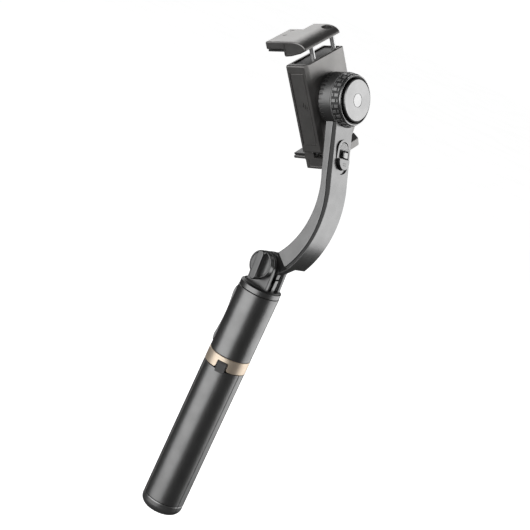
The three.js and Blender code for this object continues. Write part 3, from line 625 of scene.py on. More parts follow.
def moved(mesh, matrix):
    bmesh.ops.transform(mesh, matrix=matrix, verts=mesh.verts)
    return mesh


def append(target, source):
    data = bpy.data.meshes.new("part")
    source.to_mesh(data)
    source.free()
    target.from_mesh(data)
    bpy.data.meshes.remove(data)


# Carries a solid drawn in (y, z, x) order, such as an outline in the YZ plane extruded along X.
ALONG_X = Matrix(((0, 0, 1, 0), (1, 0, 0, 0), (0, 1, 0, 0), (0, 0, 0, 1)))
# The same for an outline drawn in the clamp's (z, y) plane.
ALONG_CLAMP_X = Matrix(((0, 0, -1, 0), (0, 1, 0, 0), (1, 0, 0, 0), (0, 0, 0, 1)))
# The same for an outline drawn in the clamp's (x, z) plane.
ALONG_CLAMP_Y = Matrix(((1, 0, 0, 0), (0, 0, 1, 0), (0, 1, 0, 0), (0, 0, 0, 1)))
# Point a solid of revolution drawn on z along y or x, and stand an outline's y up along z.
Z_TO_Y = Matrix.Rotation(-math.pi / 2, 4, "X")
Z_TO_X = Matrix.Rotation(math.pi / 2, 4, "Y")
Y_TO_Z = Matrix.Rotation(math.pi / 2, 4, "X")


def to_object(mesh, name):
    bmesh.ops.recalc_face_normals(mesh, faces=mesh.faces)
    data = bpy.data.meshes.new(name)
    mesh.to_mesh(data)
    mesh.free()
    obj = bpy.data.objects.new(name, data)
    bpy.context.scene.collection.objects.link(obj)
    return obj


def apply_modifiers(obj):
    """Bakes an object's modifiers into its mesh."""
    depsgraph = bpy.context.evaluated_depsgraph_get()
    data = bpy.data.meshes.new_from_object(obj.evaluated_get(depsgraph))
    old = obj.data
    obj.modifiers.clear()
    obj.data = data
    bpy.data.meshes.remove(old)


def combine(obj, meshes, operation):
    for index, mesh in enumerate(meshes):
        other = to_object(mesh, f"{obj.name}_tool_{index}")
        modifier = obj.modifiers.new("boolean", "BOOLEAN")
        modifier.operation = operation
        modifier.solver = "EXACT"
        modifier.object = other
        apply_modifiers(obj)
        bpy.data.objects.remove(other)


def cut(obj, meshes):
    combine(obj, meshes, "DIFFERENCE")


def join(obj, meshes):
    combine(obj, meshes, "UNION")


def soften(obj, width, segments=3, angle=40):
    """Rounds an object's sharp edges."""
    modifier = obj.modifiers.new("bevel", "BEVEL")
    modifier.width = width
    modifier.segments = segments
    modifier.limit_method = "ANGLE"
    modifier.angle_limit = math.radians(angle)
    apply_modifiers(obj)


def choose_material(obj, test):
    """Gives the faces that pass a test the object's second material."""
    for polygon in obj.data.polygons:
        polygon.material_index = int(test(polygon))


def piece(obj, maker, body, nodes=(), place=None, smooth=38):
    """Places a finished object, gives it its materials and normals, and seats it on its body."""
    makers = maker if isinstance(maker, list) else [maker]
    if place is not None:
        obj.data.transform(place)
    clean = bmesh.new()
    clean.from_mesh(obj.data)
    cleaned(clean, 1e-7).to_mesh(obj.data)
    clean.free()
    polygons = obj.data.polygons
    indices = [polygon.material_index for polygon in polygons]
    obj.data.materials.clear()
    for one in makers:
        obj.data.materials.append(material(one))
    if len(makers) > 1:
        polygons.foreach_set("material_index", indices)
    polygons.foreach_set("use_smooth", [True] * len(polygons))
    obj.data.set_sharp_from_angle(angle=math.radians(smooth))
    obj.modifiers.new("normals", "WEIGHTED_NORMAL").keep_sharp = True
    apply_modifiers(obj)
    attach(obj, body)
    if nodes:
        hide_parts(*nodes)


def turned_on_motor(name, profile, maker, nodes=(), segments=180, body="arm", smooth=38):
    """A piece that is turned round the motor's axis."""
    piece(to_object(revolved(profile, segments), name), maker, body, nodes, MOTOR_FRAME, smooth)


# ------------------------------------------------------------------ camera, lights and stage


def aim(obj, forward, up):
    right = forward.cross(up).normalized()
    obj.matrix_world = frame_matrix(obj.location.copy(), right, right.cross(forward), -forward)


def add_camera():
    data = bpy.data.cameras.new("camera")
    data.lens = CAMERA.lens
    data.clip_start = 0.01
    data.clip_end = 60
    camera = bpy.data.objects.new("camera", data)
    camera.location = CAMERA.place
    bpy.context.scene.collection.objects.link(camera)
    aim(camera, Vector(CAMERA.forward).normalized(), Vector(CAMERA.up).normalized())
    bpy.context.scene.camera = camera


def add_softbox(name, azimuths, elevations, radiance):
    """An upright lamp that fills a span of azimuths and one of elevations, in degrees, seen from the arm."""
    half_width = math.radians(azimuths[1] - azimuths[0]) / 2
    low, high = (LAMP_DISTANCE * math.tan(math.radians(elevation)) for elevation in elevations)
    azimuth = math.radians(azimuths[0] + azimuths[1]) / 2
    outward = Vector((math.cos(azimuth), math.sin(azimuth), 0))
    data = bpy.data.lights.new(name, "AREA")
    data.shape = "RECTANGLE"
    data.size = 2 * LAMP_DISTANCE * math.tan(half_width)
    data.size_y = high - low
    data.energy = radiance * math.pi * data.size * data.size_y
    lamp = bpy.data.objects.new(name, data)
    lamp.location = LAMP_DISTANCE * outward + Vector((0, 0, ARM_HEIGHT + (low + high) / 2))
    bpy.context.scene.collection.objects.link(lamp)
    aim(lamp, -outward, Vector((0, 0, 1)))


def add_world():
    """Dim, even studio air for the object, and a white surround behind it."""
    world = bpy.data.worlds.new("studio")
    bpy.context.scene.world = world
    world.use_nodes = True
    tree = world.node_tree
    fill = tree.nodes["Background"]
    set_inputs(fill, {"Color": (1, 1, 1, 1), "Strength": FILL_STRENGTH})
    white = tree.nodes.new("ShaderNodeBackground")
    set_inputs(white, {"Color": (1, 1, 1, 1), "Strength": SURROUND_STRENGTH})
    path = tree.nodes.new("ShaderNodeLightPath")
    mix = tree.nodes.new("ShaderNodeMixShader")
    tree.links.new(path.outputs["Is Camera Ray"], mix.inputs["Fac"])
    tree.links.new(fill.outputs["Background"], mix.inputs[1])
    tree.links.new(white.outputs["Background"], mix.inputs[2])
    tree.links.new(mix.outputs["Shader"], tree.nodes["World Output"].inputs["Surface"])


def add_floor():
    """A plain pale floor, well below the hand-held object."""
    mesh = bmesh.new()
    bmesh.ops.create_circle(mesh, cap_ends=True, radius=20, segments=96)
    floor = to_object(mesh, "floor")
    floor.location.z = FLOOR_HEIGHT
    nodes = Nodes("floor_paper", {"Roughness": 0.9, "Emission Strength": 1.0})
    color = nodes.drift(nodes.noise(3, 4), grey(0.93), grey(0.95))
    nodes.link(color, nodes.shader.inputs["Emission Color"])
    floor.data.materials.append(nodes.material)
    floor.visible_glossy = False
    floor.visible_diffuse = False
    floor.visible_shadow = False


def add_stage():
    bpy.context.scene.view_settings.view_transform = "Standard"
    add_camera()
    add_world()
    add_floor()
    add_softbox("left_box", (138, 213), (-30, 40), 1.5)
    add_softbox("right_box", (300, 367), (-24, 40), 1.5)
    add_softbox("rear_box", (44, 84), (6, 44), 1.6)


# ------------------------------------------------------------------ tripod legs


def add_leg(number):
    joint = Vector(JOINTS[LEG_JOINTS[number]]["pos_m"])
    hinge = (math.hypot(joint.x, joint.y), joint.z)
    place = Matrix.Rotation(math.atan2(joint.y, joint.x), 4, "Z")
    body = LEG_BODIES[number]
    half_angle = math.radians(60) - math.asin(GAP / 2 / LEG.outer)
    shell = leg_shell(number, hinge, half_angle)
    piece(shell, charcoal_metal, body, [f"leg_{number}"], place)
    piece(leg_tab(number, hinge), tab_plastic, body, [], place)
    foot = foot_pad(number, half_angle)
    piece(foot, [foot_rubber, painted_highlight_metal], body, [f"foot_{number}"], place)


def leg_shell(number, hinge, half_angle):
    """A third of the lower handle, drawn on +x, with a knuckle on its hinge."""
    profile = [
        (LEG.outer, LEG.bottom),
        (LEG.outer, LEG.top),
        (LEG.root_inner, LEG.top),
        (LEG.root_inner, LEG.root),
        (LEG.inner, LEG.root - LEG.slope),
        (LEG.inner, LEG.bottom),
    ]
    shell = to_object(wedge(profile, half_angle), f"leg_shell_{number}")
    soften(shell, 0.00035)
    to_hinge = Matrix.Translation((hinge[0], 0, hinge[1])) @ Z_TO_Y
    # The collar's lobes sweep a barrel round the hinge as the leg opens.
    barrel = [(0.0, -0.014), (0.0030, -0.014), (0.0031, -0.008), (0.0047, -0.003), (0.0048, 0.0)]
    barrel += [(radius, -height) for radius, height in barrel[-2::-1]]
    cut(shell, [moved(revolved(barrel, 48), to_hinge)])
    radius = KNUCKLE.radius
    outline = [(hinge[0] - radius, KNUCKLE.web), (hinge[0] + radius - 0.0002, KNUCKLE.web)]
    outline += arc(hinge, radius, 0, 180, 20)
    knuckle = extruded(outline, -KNUCKLE.half, KNUCKLE.half, 0.0004)
    join(shell, [moved(knuckle, Y_TO_Z)])
    cut(shell, [moved(cylinder(KNUCKLE.pin, -0.02, 0.02, 24), to_hinge)])
    return shell


def leg_tab(number, hinge):
    """A thin curved cover over the knuckle's outer side."""
    outline = [(TAB.inner, TAB.bottom), (TAB.outer, TAB.bottom)]
    outline += arc(hinge, KNUCKLE.radius + TAB.half_thickness, 0, TAB.sweep, 10)
    outline += arc(hinge, KNUCKLE.radius - TAB.half_thickness, TAB.sweep, 0, 10)
    cover = extruded(outline, 0.0001 - KNUCKLE.half, KNUCKLE.half - 0.0001, 0.0003)
    return to_object(moved(cover, Y_TO_Z), f"leg_tab_{number}")


def foot_pad(number, half_angle):
    """A third of the rounded, hollow rubber end, with a thin pale band at its top that paints in a highlight.
    """
    corner, outer, hollow = FOOT.corner, FOOT.outer, FOOT.hollow
    lip = FOOT.top - FOOT.lip
    profile = [(FOOT.inner, FOOT.top), (FOOT.inner, 0.003), (hollow, 0.0024), (hollow, 0.0)]
    profile += arc((outer - corner, corner), corner, -90, 0, 12)
    profile += [(outer, lip), (outer, FOOT.top)]
    foot = to_object(wedge(profile, half_angle), f"foot_pad_{number}")
    # Faces of the thin band at the top of the outer wall take the paler metal: a painted highlight.
    choose_material(foot, lambda face: face.center.z > lip and face.center.xy.length > outer - 0.0005)
    soften(foot, 0.0003)
    return foot


# ------------------------------------------------------------------ handle


def ring_profile(inner, outer, low, high, rim):
    return rounded([(outer, low), (outer, high), (inner, high), (inner, low)], rim)


def add_collar():
    """A ring with a flared notch over each leg's knuckle."""
    profile = ring_profile(COLLAR.inner, COLLAR.outer, COLLAR.bottom, COLLAR.top, 0.0005)
    ring = to_object(revolved(profile, 144), "collar_ring")
    half, top, bottom, flare = NOTCH.half, NOTCH.top, NOTCH.bottom, NOTCH.flare
    mouth = half + 2 * flare
    shoulder = COLLAR.bottom - 0.00005
    corners = [(-mouth, bottom), (mouth, bottom), (mouth, shoulder), (half, shoulder)]
    corners += [(half, top), (-half, top), (-half, shoulder), (-mouth, shoulder)]
    outline = rounded(corners, [0, 0, 0, flare, 0.0009, 0.0009, flare, 0])
    tools = []
    for name in LEG_JOINTS.values():
        # x across the notch, y up the handle, z outwards
        hinge = Vector(JOINTS[name]["pos_m"])
        outward = Vector((hinge.x, hinge.y, 0)).normalized()
        across = Z_AXIS.cross(outward)
        notch = extruded(outline, 0.005, 0.020)
        tools.append(moved(notch, frame_matrix(Vector((0, 0, 0)), across, Z_AXIS, outward)))
    cut(ring, tools)
    soften(ring, 0.0003, 3, 50)
    piece(ring, champagne, "handle", ["handle_collar"])


def remote_slab(margin, corner):
    """The space outside the remote's inner face, grown by a margin on every side."""
    half = REMOTE.half + margin
    outline = box_outline(-half, REMOTE.bottom - margin, half, REMOTE.top + margin, corner)
    return moved(extruded(outline, -BEYOND, margin - REMOTE.back), Y_TO_Z)


def add_tube():
    profile = ring_profile(TUBE.inner, TUBE.outer, TUBE.bottom, TUBE.top, 0.0004)
    shell = to_object(revolved(profile, 144), "handle_shell")
    cut(shell, [remote_slab(GAP, 0.0016)])
    piece(shell, charcoal_metal, "handle", ["handle_tube"])


def remote_key_place():
    return Matrix.Translation((0, 0, REMOTE_KEY.height)) @ Z_TO_Y


def add_remote_case():
    """A case that bulges out of the handle's rear, a little waisted, with rounded ends."""
    low, high = REMOTE.bottom, REMOTE.top
    profile = [(0, low)]
    steps = 28
    for step in range(steps + 1):
        place = 2 * step / steps - 1
        end_rounding = 0.0006 * max(0, abs(place) - 0.85) / 0.15
        radius = REMOTE.waist + REMOTE.bulge * min(1, (place / 0.75) ** 2) - end_rounding
        profile.append((radius, (low + high) / 2 + place * (high - low) / 2))
    profile.append((0, high))
    shell = to_object(revolved(profile, 144), "remote_case")
    combine(shell, [remote_slab(0, 0.0015)], "INTERSECT")
    hole = cylinder(REMOTE_KEY.radius + GAP, REMOTE_KEY.well, BEYOND, 64)
    cut(shell, [moved(hole, remote_key_place())])
    soften(shell, 0.00025, 2, 50)
    piece(shell, charcoal_metal, "remote", ["remote_shell", "remote_back"])


def add_remote_key():
    """A round key with a shallow dish."""
    radius, inside, face = REMOTE_KEY.radius, REMOTE_KEY.inside, REMOTE_KEY.face
    profile = [(0, inside), (radius, inside), (radius, face - 0.0005), (radius - 0.0002, face - 0.0001)]
    profile += [(radius - 0.0006, face), (0.0018, face - 0.0004), (0, face - 0.0005)]
    key = to_object(moved(revolved(profile, 64), remote_key_place()), "remote_key")
    piece(key, black_and_painted_shade, "remote_key", ["remote_button"])


def add_pole():
    for index, body in enumerate(["handle", "pole_one", "pole_two", "pole_three", "neck"]):
        outer = POLE.outer - index * POLE.step
        top = POLE.neck_top if body == "neck" else POLE.top
        profile = ring_profile(outer - POLE.wall, outer, POLE.bottom, top, 0.00015)
        section = to_object(revolved(profile, 72), f"pole_tube_{index}")
        if index == 0:
            piece(section, plain_steel, body, ["pole_sleeve"])
        else:
            piece(section, chrome, body, [f"pole_section_{index}"])


# ------------------------------------------------------------------ neck and hinge


def add_cap():
    """A flanged cap with a dark sloping top, and a near-black ring in the gap between it and the tube, as
    painted shade.
    """
    outer, bottom, band, top = CAP.outer, CAP.bottom, CAP.band, CAP.top
    corners = [
        (0, band),
        (CAP.bore, band),
        (CAP.bore, bottom),
        (outer, bottom),
        (outer, band),
        (outer - 0.0007, band + 0.0004),
        (CAP.face, top),
        (0, top),
    ]
    profile = rounded(corners, [0, 0, 0, 0.0004, 0.00025, 0.0002, 0.0006, 0])
    cap = to_object(revolved(profile, 144), "neck_cap")
    choose_material(cap, lambda face: face.normal.z > 0.3 and face.center.z > band)
    piece(cap, [charcoal_metal, slope_metal], "neck", ["top_cap"], smooth=30)
    # A near-black ring sunk in the gap under the cap: painted shade for that gap.
    profile = ring_profile(GAP_SHADE_RING.inner, GAP_SHADE_RING.outer, TUBE.top + 0.00005, bottom + 0.0001, 0.00005)
    piece(to_object(revolved(profile), "neck_gap_shade"), black_and_painted_shade, "neck")


def add_yoke():
    """Two ears with near-black plates between them and the tongue, and a near-black root, both painted shade
    for the fork's gaps, and a rib up the front of the root.
    """
    front, rear, base, ear, inset = YOKE.front, YOKE.rear, YOKE.base, YOKE.ear, YOKE.inset
    centre = (0, PIVOT.z)
    slot = ARM.knuckle + GAP
    ear_outline = [(front, base), (rear, base)] + arc(centre, ear, 0, 180, 40)
    gap_shade_outline = arc(centre, ear - inset, 0, 180, 40) + [(front + inset, base), (rear - inset, base)]
    sides = ((-1, "left"), (1, "right"))
    for side, tag in sides:
        low, high = sorted((side * YOKE.ear_inside, side * YOKE.half))
        plate = to_object(extruded(ear_outline, low, high, 0.0005), f"yoke_ear_{tag}")
        piece(plate, hinge_metal, "neck", ["hinge_yoke"], ALONG_X)
    # Near-black plates between each ear and the tongue: painted shade for the gap there.
    for side, tag in sides:
        low, high = sorted((side * slot, side * (YOKE.ear_inside - 0.00005)))
        plate = to_object(extruded(gap_shade_outline, low, high, 0.0001, 2), f"yoke_cheek_{tag}")
        piece(plate, black_and_painted_shade, "neck", [], ALONG_X)
    # The root under the knuckle is near-black too: painted shade at the bottom of the slot.
    root_top = PIVOT.z - ARM.knuckle_radius - 0.0006
    root = block((-slot, front + 0.0012, base), (slot, rear - 0.0006, root_top), 0.0002)
    piece(to_object(root, "yoke_root"), black_and_painted_shade, "neck")
    rib = block((-RIB.half, front + 0.0001, base), (RIB.half, front + 0.0006, RIB.yoke_top), 0.0002)
    piece(to_object(rib, "yoke_rib"), charcoal_metal, "neck")


def add_knob():
    """A round knob with a thumb bar across two shallow D-shaped recesses, and its bolt."""
    radius, inside, face = KNOB.radius, KNOB.inside, KNOB.face
    floor = face - KNOB.recess
    corners = [(0, inside), (radius, inside), (radius, face), (radius - 0.0009, face)]
    corners += [(radius - 0.0013, floor), (0, floor)]
    knob = to_object(revolved(rounded(corners, [0, 0.0004, 0.0006, 0.0003, 0.0003, 0]), 120), "knob_disc")
    bar_outline = slot_outline(0, -radius - 0.0016, radius, KNOB.bar / 2, 16)
    join(knob, [extruded(bar_outline, inside + 0.001, KNOB.grip, 0.0007, 5)])
    to_hinge = Matrix.Translation((0, 0, PIVOT.z))
    tilt = Matrix.Rotation(-math.pi / 2, 4, "Y") @ Matrix.Rotation(math.radians(KNOB.tilt - 90), 4, "Z")
    piece(knob, hinge_metal, "knob", ["hinge_knob"], to_hinge @ tilt)
    corners = [(0, BOLT.low), (BOLT.radius, BOLT.low), (BOLT.radius, BOLT.high), (0, BOLT.high)]
    bolt = revolved(rounded(corners, [0, 0.0004, 0.0004, 0]), 48)
    bolt = to_object(moved(bolt, to_hinge @ Z_TO_X), "clamp_bolt")
    piece(bolt, plain_steel, "knob", ["hinge_bolt"])


# ------------------------------------------------------------------ arm


def edge_points(edge, shift, steps=36):
    """One long edge of the arm from top to end, moved outwards from its bow's centre."""
    across, up = edge.centre
    angles = []
    for y, z in (edge.bend, edge.end):
        angles.append(math.degrees(math.atan2(z - up, y - across)) % 360)
    return [(edge.top[0] - shift, edge.top[1])] + arc(edge.centre, edge.radius + shift, *angles, steps)


def between_edges(near, far, near_shift=0.0, far_shift=0.0):
    return edge_points(near, near_shift) + edge_points(far, far_shift)[::-1]


def motor_tool():
    """The round space that the motor's housing takes out of the arm's upper end."""
    return moved(cylinder(HOUSING.outer + GAP, 0.008, 0.05), MOTOR_FRAME)


def arm_flanks():
    """The hull that narrows the arm from its full width to its tongue."""
    mesh = bmesh.new()
    for side in (-1, 1):
        wide, slim = side * (ARM.half - 0.0002), side * ARM.knuckle
        for x, y, z in (
            (wide, -0.0078, -0.1003),
            (wide, -0.0170, -0.1054),
            (wide, -0.0120, -0.1010),
            (slim, -0.0090, -0.1050),
            (slim, -0.0115, -0.1130),
            (slim, -0.0170, -0.1075),
        ):
            mesh.verts.new((x, y, z + ARM.datum))
    hull = bmesh.ops.convex_hull(mesh, input=mesh.verts)
    inner = hull["geom_interior"] + hull["geom_unused"]
    spare = [item for item in inner if isinstance(item, bmesh.types.BMVert)]
    bmesh.ops.delete(mesh, geom=spare, context="VERTS")
    return mesh


def arm_tongue():
    """The slim end that stands between the yoke's cheeks, with its round knuckle."""
    height = PIVOT.z - ARM.datum
    outline = [(-0.0082, -0.1005), (-0.0034, height + 0.0091)]
    outline += arc((0, height), ARM.knuckle_radius, 110.5, -160, 48)
    outline += [(-0.0185, -0.1064)]
    return moved(extruded(outline, -ARM.knuckle, ARM.knuckle, 0.0003), ARM_FRAME)


def add_arm_shell():
    beam = extruded(between_edges(INNER_EDGE, SEAM_EDGE, 0, SHADE_BAND_INSET), -ARM.half, ARM.half, 0.0006)
    shell = to_object(moved(beam, ARM_FRAME), "arm_beam")
    join(shell, [arm_flanks(), arm_tongue()])
    to_hinge = Matrix.Translation(PIVOT) @ Z_TO_X
    tools = [motor_tool()]
    for side in (-1, 1):
        low, high = sorted((side * ARM.knuckle, side * 0.012))
        tools.append(moved(cylinder(YOKE.ear + 0.0007, low, high), to_hinge))
    tools.append(moved(cylinder(BOLT.radius + GAP, -0.006, 0.006, 48), to_hinge))
    cut(shell, tools)
    piece(shell, arm_paint, "arm", ["arm_shell"])
    profile = ring_profile(0.0085, ARM.knuckle_radius + 0.00015, -0.0014, 0.0014, 0.0003)
    ridge = to_object(moved(revolved(profile), to_hinge), "knuckle_ridge")
    piece(ridge, hinge_metal, "arm")
    low = (-RIB.half, RIB.knuckle_front, PIVOT.z - 0.0060)
    high = (RIB.half, RIB.knuckle_rear, PIVOT.z - 0.0010)
    piece(to_object(block(low, high, 0.0002), "knuckle_rib"), hinge_metal, "arm")


def pill_tool():
    """The opening for the switch plate."""
    return moved(extruded(slot_outline(0, PLATE.start, PLATE.end, PLATE.half), -0.008, 0.004), SWITCH_FRAME)


def add_arm_cover():
    """A near-black band under a pale face plate that follows the arm's outer bow: painted shade and
    reflection along the step between side and face.
    """
    half = ARM.half
    outline = between_edges(SEAM_EDGE, OUTER_EDGE, SHADE_BAND_INSET + 0.0001, -FACE_DEPTH)
    shade_band = to_object(moved(extruded(outline, 0.0002 - half, half - 0.0002, 0.0003), ARM_FRAME), "arm_shade_band")
    cut(shade_band, [motor_tool(), pill_tool()])
    # The near-black band is painted shade and reflection of the seam's step.
    piece(shade_band, dark_trim_and_painted_shade, "arm", ["arm_cover"])
    outline = between_edges(OUTER_EDGE, OUTER_EDGE, -FACE_DEPTH, 0)
    face = to_object(moved(extruded(outline, -half, half, 0.00012), ARM_FRAME), "arm_face")
    cut(face, [motor_tool(), pill_tool()])
    piece(face, face_paint, "arm", ["arm_cover"])


# ------------------------------------------------------------------ switches


def window_outline(margin):
    """A half disc, round at its upper end."""
    points = arc((WINDOW.x, WINDOW.y), WINDOW.radius + margin, 180, 360, 28)
    points[0] = (points[0][0], WINDOW.y + margin)
    points[-1] = (points[-1][0], WINDOW.y + margin)
    return points


def key_outline(margin):
    """Straight across its upper side and round below."""
    half, low, steps = KEY.half + margin, KEY.start - margin, 32
    points = [(-half, low), (half, low)]
    for step in range(steps + 1):
        angle = math.pi * step / steps
        points.append((half * math.cos(angle), KEY.centre + (KEY.reach + margin) * math.sin(angle)))
    return rounded(points, [KEY.corner, KEY.corner] + [0] * (steps + 1))


# Side faces, which take the near-black material as painted shade.
def takes_painted_shade(face):
    return face.normal.z <= 0.6


def add_switch_bed():
    """The tipped plate round the switches, its opening walls near-black as painted shade, and the near-black
    floor that shows in its openings, also painted shade.
    """
    margin = 0.0002
    outline = slot_outline(0, PLATE.start + margin, PLATE.end - margin, PLATE.half - margin)
    bed = extruded(outline, BED.inside, 0, 0.0001, 2)
    middle = (PLATE.start + PLATE.end) / 2
    half_length = (PLATE.end - PLATE.start) / 2
    for vertex in bed.verts:
        if vertex.co.z > -0.001:
            # Proud of the arm's face at its upper left and sunk at its lower right.
            across, along = vertex.co.x / PLATE.half, (vertex.co.y - middle) / half_length
            vertex.co.z += BED.tip_across * across - BED.tip_along * along
    plate = to_object(bed, "switch_bed")
    track = box_outline(TRACK.left, TRACK.start, TRACK.right, TRACK.end, 0.0006)
    openings = [key_outline(BED.clearance), track, window_outline(0.0002)]
    cut(plate, [extruded(opening, -0.004, 0.003) for opening in openings])
    # The walls of the openings are coloured near-black: painted shade.
    choose_material(plate, takes_painted_shade)
    piece(plate, [face_paint, black_and_painted_shade], "arm", ["switch_plate"], SWITCH_FRAME)
    # A near-black floor under the openings: painted shade in the recesses.
    outline = slot_outline(0, PLATE.start + 0.0005, PLATE.end - 0.0005, PLATE.half - 0.0005)
    floor = to_object(extruded(outline, -0.0027, -0.002), "switch_floor")
    cut(floor, [extruded(key_outline(BED.clearance), -0.004, 0.001)])
    piece(floor, black_and_painted_shade, "arm", [], SWITCH_FRAME)


def add_switches():
    """Distances run down the arm's outer face from the switch datum."""
    add_switch_bed()
    window = to_object(extruded(window_outline(0), -0.0013, 0.0002, 0.0003), "lamp_window")
    piece(window, milky_lens, "arm", ["status_lens"], SWITCH_FRAME)
    nub = block((-0.0060, TRACK.start + 0.0006, -0.0024), (-0.0012, TRACK.end - 0.0006, 0.0001), 0.0006)
    nub = to_object(nub, "mode_nub")
    piece(nub, cap_metal, "mode_switch", ["mode_slider"], SWITCH_FRAME)
    key = to_object(extruded(key_outline(0), -0.0029, KEY.face, 0.0003), "power_key_cap")
    # The key's side walls are coloured near-black: painted shade.
    choose_material(key, takes_painted_shade)
    piece(key, [face_paint, black_and_painted_shade], "power_key", ["power_button"], SWITCH_FRAME)
    for name, row in (("power_key_mark_238", 0.0238), ("power_key_mark_252", 0.0252)):
        mark = block((-0.0016, row, KEY.face - 0.0001), (0.0014, row + 0.0005, KEY.face + 0.0001), 0.00005)
        piece(to_object(mark, name), hinge_metal, "power_key", [], SWITCH_FRAME)


# ------------------------------------------------------------------ motor


def add_housing():
    """A drum whose rear edge is cut by a ring of cooling slits."""
    outer, rear, front, bore, neck = HOUSING.outer, HOUSING.rear, HOUSING.front, HOUSING.bore, HOUSING.neck
    corners = [(bore, rear), (outer, rear), (outer, front)]
    corners += [(neck, front), (neck, HOUSING.inside), (bore, HOUSING.inside)]
    profile = rounded(corners, [0.0002, 0.0005, 0.0005, 0, 0, 0])
    drum = to_object(revolved(profile, 180), "motor_drum")
    half = SLITS.width / 2
    tools = bmesh.new()
    for index in range(SLITS.count):
        slit = block((outer - 0.0012, -half, rear - 0.002), (outer + 0.001, half, rear + SLITS.length))
        append(tools, moved(slit, Matrix.Rotation(TURN * index / SLITS.count, 4, "Z")))
    cut(drum, [tools])
    piece(drum, housing_black, "arm", ["motor_housing"], MOTOR_FRAME)


def add_trim_ring():
    """A tapered ring with a bright rim, a thin pale ring round its rear edge as a painted highlight, and
    raised tablets.
    """
    rear, front, outer, rim, inner = RING.rear, RING.front, RING.outer, RING.rim, RING.inner
    wall, shoulder, root = inner + 0.0002, front - 0.0008, outer - 0.0006
    corners = [(root, rear), (outer, rear), (outer, rear + 0.0006)]
    corners += [(rim - 0.0001, shoulder), (wall, shoulder), (wall, rear)]
    profile = rounded(corners, [0.0001, 0.0002, 0.0003, 0.0001, 0, 0])
    turned_on_motor("pattern_ring", profile, dark_trim_and_painted_shade, ["trim_ring"])
    base = front - 0.0012
    corners = [(inner + 0.0009, base), (rim, base), (rim, front - 0.0002)]
    corners += [(rim - 0.0004, front), (inner + 0.0011, front)]
    profile = rounded(corners, [0, 0.0001, 0.0002, 0.0002, 0.0002])
    turned_on_motor("ring_rim", profile, bright_metal)
    # The thin pale ring round the rear edge paints in that edge's highlight.
    profile = ring_profile(root, outer + 0.0002, rear + 0.0001, rear + 0.0006, 0.0001)
    turned_on_motor("ring_highlight_line", profile, painted_highlight_line_metal)
    add_tablets()


def add_tablets():
    """Plain bricks round the ring's slope, two to a cell, the seam between them staggered."""
    rear, front = RING.rear + 0.0009, RING.front - 0.0018
    slope = math.atan2(RING.outer - RING.rim, RING.front - RING.rear)
    half = TABLET.width / 2
    tablets = bmesh.new()
    for index in range(TABLET.count):
        stagger = TABLET.stagger if index % 2 == 0 else -TABLET.stagger
        split = (rear + front) / 2 + stagger
        for low, high in ((rear, split - TABLET.gap), (split + TABLET.gap, front)):
            middle = (low + high) / 2
            radius = RING.outer - (middle - RING.rear) * math.tan(slope) - 0.0001
            tablet = block((-TABLET.sunk, -half, low - middle), (TABLET.rise, half, high - middle), 0.00012)
            moved(tablet, Matrix.Rotation(-slope, 4, "Y"))
            moved(tablet, Matrix.Translation((radius, 0, middle)))
            moved(tablet, Matrix.Rotation(TURN * index / TABLET.count, 4, "Z"))
            append(tablets, tablet)
    piece(to_object(tablets, "ring_tablets"), tablet_metal, "arm", [], MOTOR_FRAME)


def add_motor_cap():
    """A pale disc with a round inlay, in a near-black wall that paints in the shade on the cap's side."""
    outer, inlay = MOTOR_CAP.outer, MOTOR_CAP.inlay
    rear, edge, front = MOTOR_CAP.rear, MOTOR_CAP.edge, MOTOR_CAP.front
    inner, top = outer - 0.0015, edge - 0.0002
    wall = rounded([(inner, rear), (outer, rear), (outer, top), (inner, top)], [0, 0.0001, 0.0002, 0])
    # The cap's side wall is near-black: painted shade.
    turned_on_motor("cap_wall", wall, black_and_painted_shade, ["motor_cap"], 144)
    base, floor = edge - 0.0012, front - 0.0003
    disc = [(0, base), (outer - 0.0002, base), (outer - 0.0002, edge), (outer - 0.0006, front)]
    disc += [(inlay + 0.0003, front), (inlay + 0.0003, floor), (0, floor)]
    turned_on_motor("cap_disc", disc, cap_metal, ["motor_cap"], 144, smooth=25)
    base = front - 0.0004
    button = rounded([(0, base), (inlay, base), (inlay, front), (0, front)], [0, 0, 0.00015, 0])
    turned_on_motor("cap_inlay", button, inlay_metal, segments=96)


def add_bell():
    """The rotor's cup, which turns with the clamp."""
    outer, bore, shaft = BELL.outer, BELL.bore, BELL.shaft
    rear, front, inside = BELL.rear, BELL.front, BELL.inside
    corners = [(shaft, rear), (outer, rear), (outer, front), (bore, front), (bore, inside), (shaft, inside)]
    profile = rounded(corners, [0, 0.0003, 0, 0, 0, 0])
    turned_on_motor("rotor_cup", profile, housing_black, ["rotor_bell"], 120, "clamp")


# ------------------------------------------------------------------ phone clamp


def body_outline(inset=0.0):
    half, top, bottom = BODY.half - inset, BODY.top - inset, BODY.bottom + inset
    wide, tall = BODY.cut
    return [(-half, bottom), (half - wide, bottom), (half, bottom + tall), (half, top), (-half, top)]


def rod_places():
    return [ROD.centre + side * ROD.spacing / 2 for side in (-1, 1)]


def rod_holes(low, high):
    """Room for both guide rods between two heights."""
    holes = []
    for x in rod_places():
        hole = cylinder(ROD.radius + GAP, low, high, 40)
        holes.append(moved(hole, Matrix.Translation((x, 0, ROD.z)) @ Z_TO_Y))
    return holes


